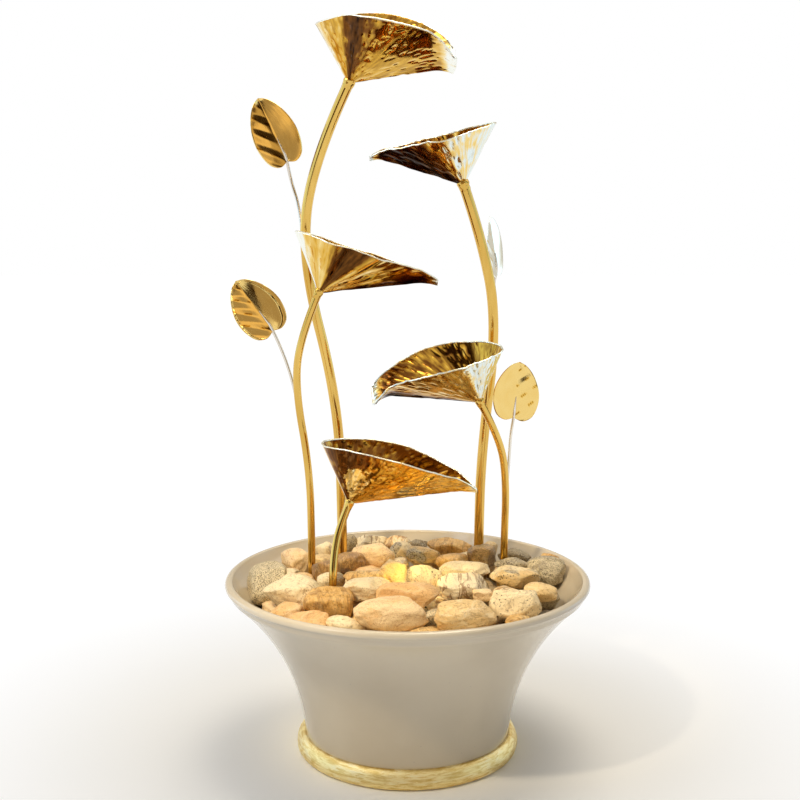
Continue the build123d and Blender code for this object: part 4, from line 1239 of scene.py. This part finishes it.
def pressed_leaf(name, rod, tip, facing, width, fold, sharp_side, tone=0.68):
    """A creased, fluted leaf from the end of its rod to its tip; sizes are in millimetres."""
    base = Vector(rod[-1]) * 0.85 + Vector(rod[-2]) * 0.15
    along = Vector(tip) - base
    length = along.length
    along.normalize()
    facing = Vector(facing)
    facing = (facing - along * facing.dot(along)).normalized()
    across = facing.cross(along).normalized()
    fold = math.radians(fold)
    edge = np.array(eased(LEAF_EDGE, LEAF_STEPS // (len(LEAF_EDGE) - 1) + 1))
    ribs = np.linspace(0, 1, len(edge)) ** 1.15
    skins, tints, places = [], [], []
    for skin in (1, -1):
        for rib, (edge_along, edge_out) in zip(ribs, edge):
            for v in np.linspace(-1, 1, LEAF_ACROSS):
                out = abs(v)
                sharp = (v > 0) == sharp_side
                u = rib * (1 - out) + edge_along * out
                beside = edge_out * out * width
                height, along_flute = fluted(u, v, beside, length, sharp)
                raised = math.sin(fold) * beside - LEAF_CURVE * beside**2 + height * 0.8
                point = base + along * (u * length) + across * (math.copysign(beside, v) * math.cos(fold))
                point += facing * (raised + skin * HALF_LEAF + 0.5)
                skins.append(point * MM)
                tints.append(tone - (stain(u, out, along_flute, len(name)) if sharp else 0))
                places.append((u * length, v * width / 2, skin * 3.0 + length))
    piece = mesh_piece(f"{name}_pressed_leaf", skins, leaf_faces(len(edge)), LEAF_BRASS)
    carry(piece, "tint", "FLOAT", tints)
    carry(piece, "beaten_place", "FLOAT_VECTOR", places)
    turn_outwards(piece, weld=True)
    return piece


print("a leaf has", LEAF_ACROSS, "points across")

# %% The four leaves
ROD = 3.0
TWIGS = {
    "top": dict(
        rod=[(-96, 46, 466), (-99, 56, 492), (-107, 61, 516), (-111, 57, 538)],
        tip=(-136, 55, 591), facing=(0.25, -1, 0.1), width=42, fold=8, sharp_side=True,
    ),
    "left": dict(
        rod=[(-98, 26, 300), (-103, 27, 328), (-112, 27, 358), (-124, 25, 386)],
        tip=(-155, 24, 427), facing=(0.2, -1, 0.05), width=44, fold=7, sharp_side=True,
    ),
    "right": dict(
        rod=[(93, 41, 228), (95, 40, 258), (96, 37, 284), (98.5, 31, 304)],
        tip=(103, 30, 353), facing=(-0.1, -1, 0.05), width=42, fold=9, sharp_side=False,
    ),
    "upper_right": dict(
        rod=[(82, 54, 380), (80, 66, 402), (81, 72, 420), (84, 70, 434)],
        tip=(76.5, 66, 485), facing=(0.94, -0.42, 0.15), width=40, fold=8, sharp_side=True, tone=0.98,
    ),
}
for name, twig in TWIGS.items():
    leaf = pressed_leaf(name, **twig)
    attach(leaf, f"{name}_stem_body")
    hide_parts(f"{name}_small_leaf")

    # The rod runs on over the leaf's face and thins out along the crease.
    root, reach = Vector(twig["rod"][-1]), Vector(twig["tip"])
    face = Vector(twig["facing"]).normalized()
    ends = [tuple(root * 0.86 + reach * 0.14 + face * 1.2), tuple(root * 0.66 + reach * 0.34 + face * 1.0)]
    thin = [1.0] * len(twig["rod"]) + [0.75, 0.25]
    rod = bent_tube(f"{name}_leaf_rod", twig["rod"] + ends, ROD, TWIG_BRASS, taper=thin)
    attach(rod, f"{name}_stem_body")
    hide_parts(f"{name}_twig")
print(len(TWIGS), "small leaves")

# %% [markdown]
# ## The bed of stones
#
# The model gives each stone's place, size and tilt as a plain egg. A river stone is blockier:
# broken faces that have been rubbed smooth. So each egg is measured, and a rounded block with a
# few planed faces and a worn, uneven skin is made in its place.

# %% Measuring the eggs
def separate_islands(mesh):
    """The points of each separate closed shape in a mesh, as arrays."""
    co = np.zeros(len(mesh.vertices) * 3, np.float32)
    mesh.vertices.foreach_get("co", co)
    co = co.reshape(-1, 3)
    micrometres = (co * 1e6).round().astype(np.int64)
    _, first, welded = np.unique(micrometres, axis=0, return_index=True, return_inverse=True)
    edges = np.zeros(len(mesh.edges) * 2, np.int32)
    mesh.edges.foreach_get("vertices", edges)
    edges = welded.ravel()[edges.reshape(-1, 2)]

    # Every point takes the lowest label next to it, until nothing changes.
    label = np.arange(len(first))
    while True:
        low = np.minimum(label[edges[:, 0]], label[edges[:, 1]])
        fresh = label.copy()
        np.minimum.at(fresh, edges[:, 0], low)
        np.minimum.at(fresh, edges[:, 1], low)
        fresh = fresh[fresh]
        if (fresh == label).all():
            break
        label = fresh
    points = co[first]
    return [points[label == value] for value in np.unique(label)]


def measured(points):
    """Centre, axes and half sizes of one egg."""
    centre = (points.min(0) + points.max(0)) / 2
    _, axes = np.linalg.eigh(np.cov((points - centre).T))
    if np.linalg.det(axes) < 0:
        axes[:, 0] *= -1
    along = (points - centre) @ axes
    centre = centre + axes @ ((along.max(0) + along.min(0)) / 2)
    return centre, axes, (along.max(0) - along.min(0)) / 2


sample = separate_islands(frame["nodes"]["brown_pebbles"].data)
print(len(sample), "brown eggs; half sizes of the first:", (measured(sample[0])[2] / MM).round(1), "mm")

# %% A rubbed block of stone
def unit_ball(level):
    """Points and triangles of a ball of radius 1."""
    work = bmesh.new()
    bmesh.ops.create_icosphere(work, subdivisions=level, radius=1.0)
    points = np.array([vertex.co[:] for vertex in work.verts])
    faces = np.array([[vertex.index for vertex in face.verts] for face in work.faces])
    work.free()
    return points, faces


# Size and height of the bumps on a worn skin, from broad swells to grit.
SWELLS = ((1.2, 0.11), (2.9, 0.050), (7.0, 0.022), (19.0, 0.009))
RUBBED = 0.82


def rubbed_block(ball, half, seed):
    """Points of one stone about its own centre, in metres, before it is turned into place."""
    chance = np.random.default_rng(seed)
    square = chance.uniform(2.1, 3.4)
    points = ball / (np.abs(ball) ** square).sum(1)[:, None] ** (1 / square)
    for _ in range(chance.integers(4, 9)):
        facing = chance.normal(size=3)
        facing /= np.linalg.norm(facing)
        depth = chance.uniform(0.68, 0.92)
        over = points @ facing - depth
        points = points - np.where(over > 0, over * RUBBED, 0)[:, None] * facing
    shift = Vector(chance.uniform(0, 90, 3))
    swell = np.array([
        sum(height * noise.noise(Vector(point) * size + shift) for size, height in SWELLS)
        for point in ball
    ])
    return points * (1 + swell[:, None]) * half


FINE, COARSE = 5, 4
BALLS = {level: unit_ball(level) for level in (COARSE, FINE)}
print("points on one stone:", len(BALLS[FINE][0]))

# %% Laying the bed
SCATTER = (7919.0, 104729.0, 1299709.0)
GROWN = 1.05


def stone_bed(kind, node_name, level):
    """All stones of one kind as one piece, with each point's place in its own stone."""
    vertices, faces, places, chances = [], [], [], []
    ball, ball_faces = BALLS[level]
    for index, points in enumerate(separate_islands(frame["nodes"][node_name].data)):
        centre, axes, half = measured(points)
        # Multiplying its place by primes gives each stone a random seed of its own.
        seed = int(abs(centre @ SCATTER) * 200) % 100000
        block = rubbed_block(ball, half * GROWN, seed)
        vertices.append(block @ axes.T + centre)
        faces.append(ball_faces + index * len(ball))
        places.append(block / MM + (seed % 97) * 13.0)
        chances.append(np.full(len(ball), (seed % 101) / 100))
    faces = np.concatenate(faces).tolist()
    piece = mesh_piece(f"{kind}_stones", np.concatenate(vertices), faces, STONES[kind])
    carry(piece, "stone_place", "FLOAT_VECTOR", np.concatenate(places))
    carry(piece, "stone_chance", "FLOAT", np.concatenate(chances))
    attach(piece, "base")
    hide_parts(node_name)
    print(kind, "stones:", len(vertices))


for kind in STONES:
    stone_bed(kind, f"{kind}_pebbles", COARSE if kind == "under" else FINE)
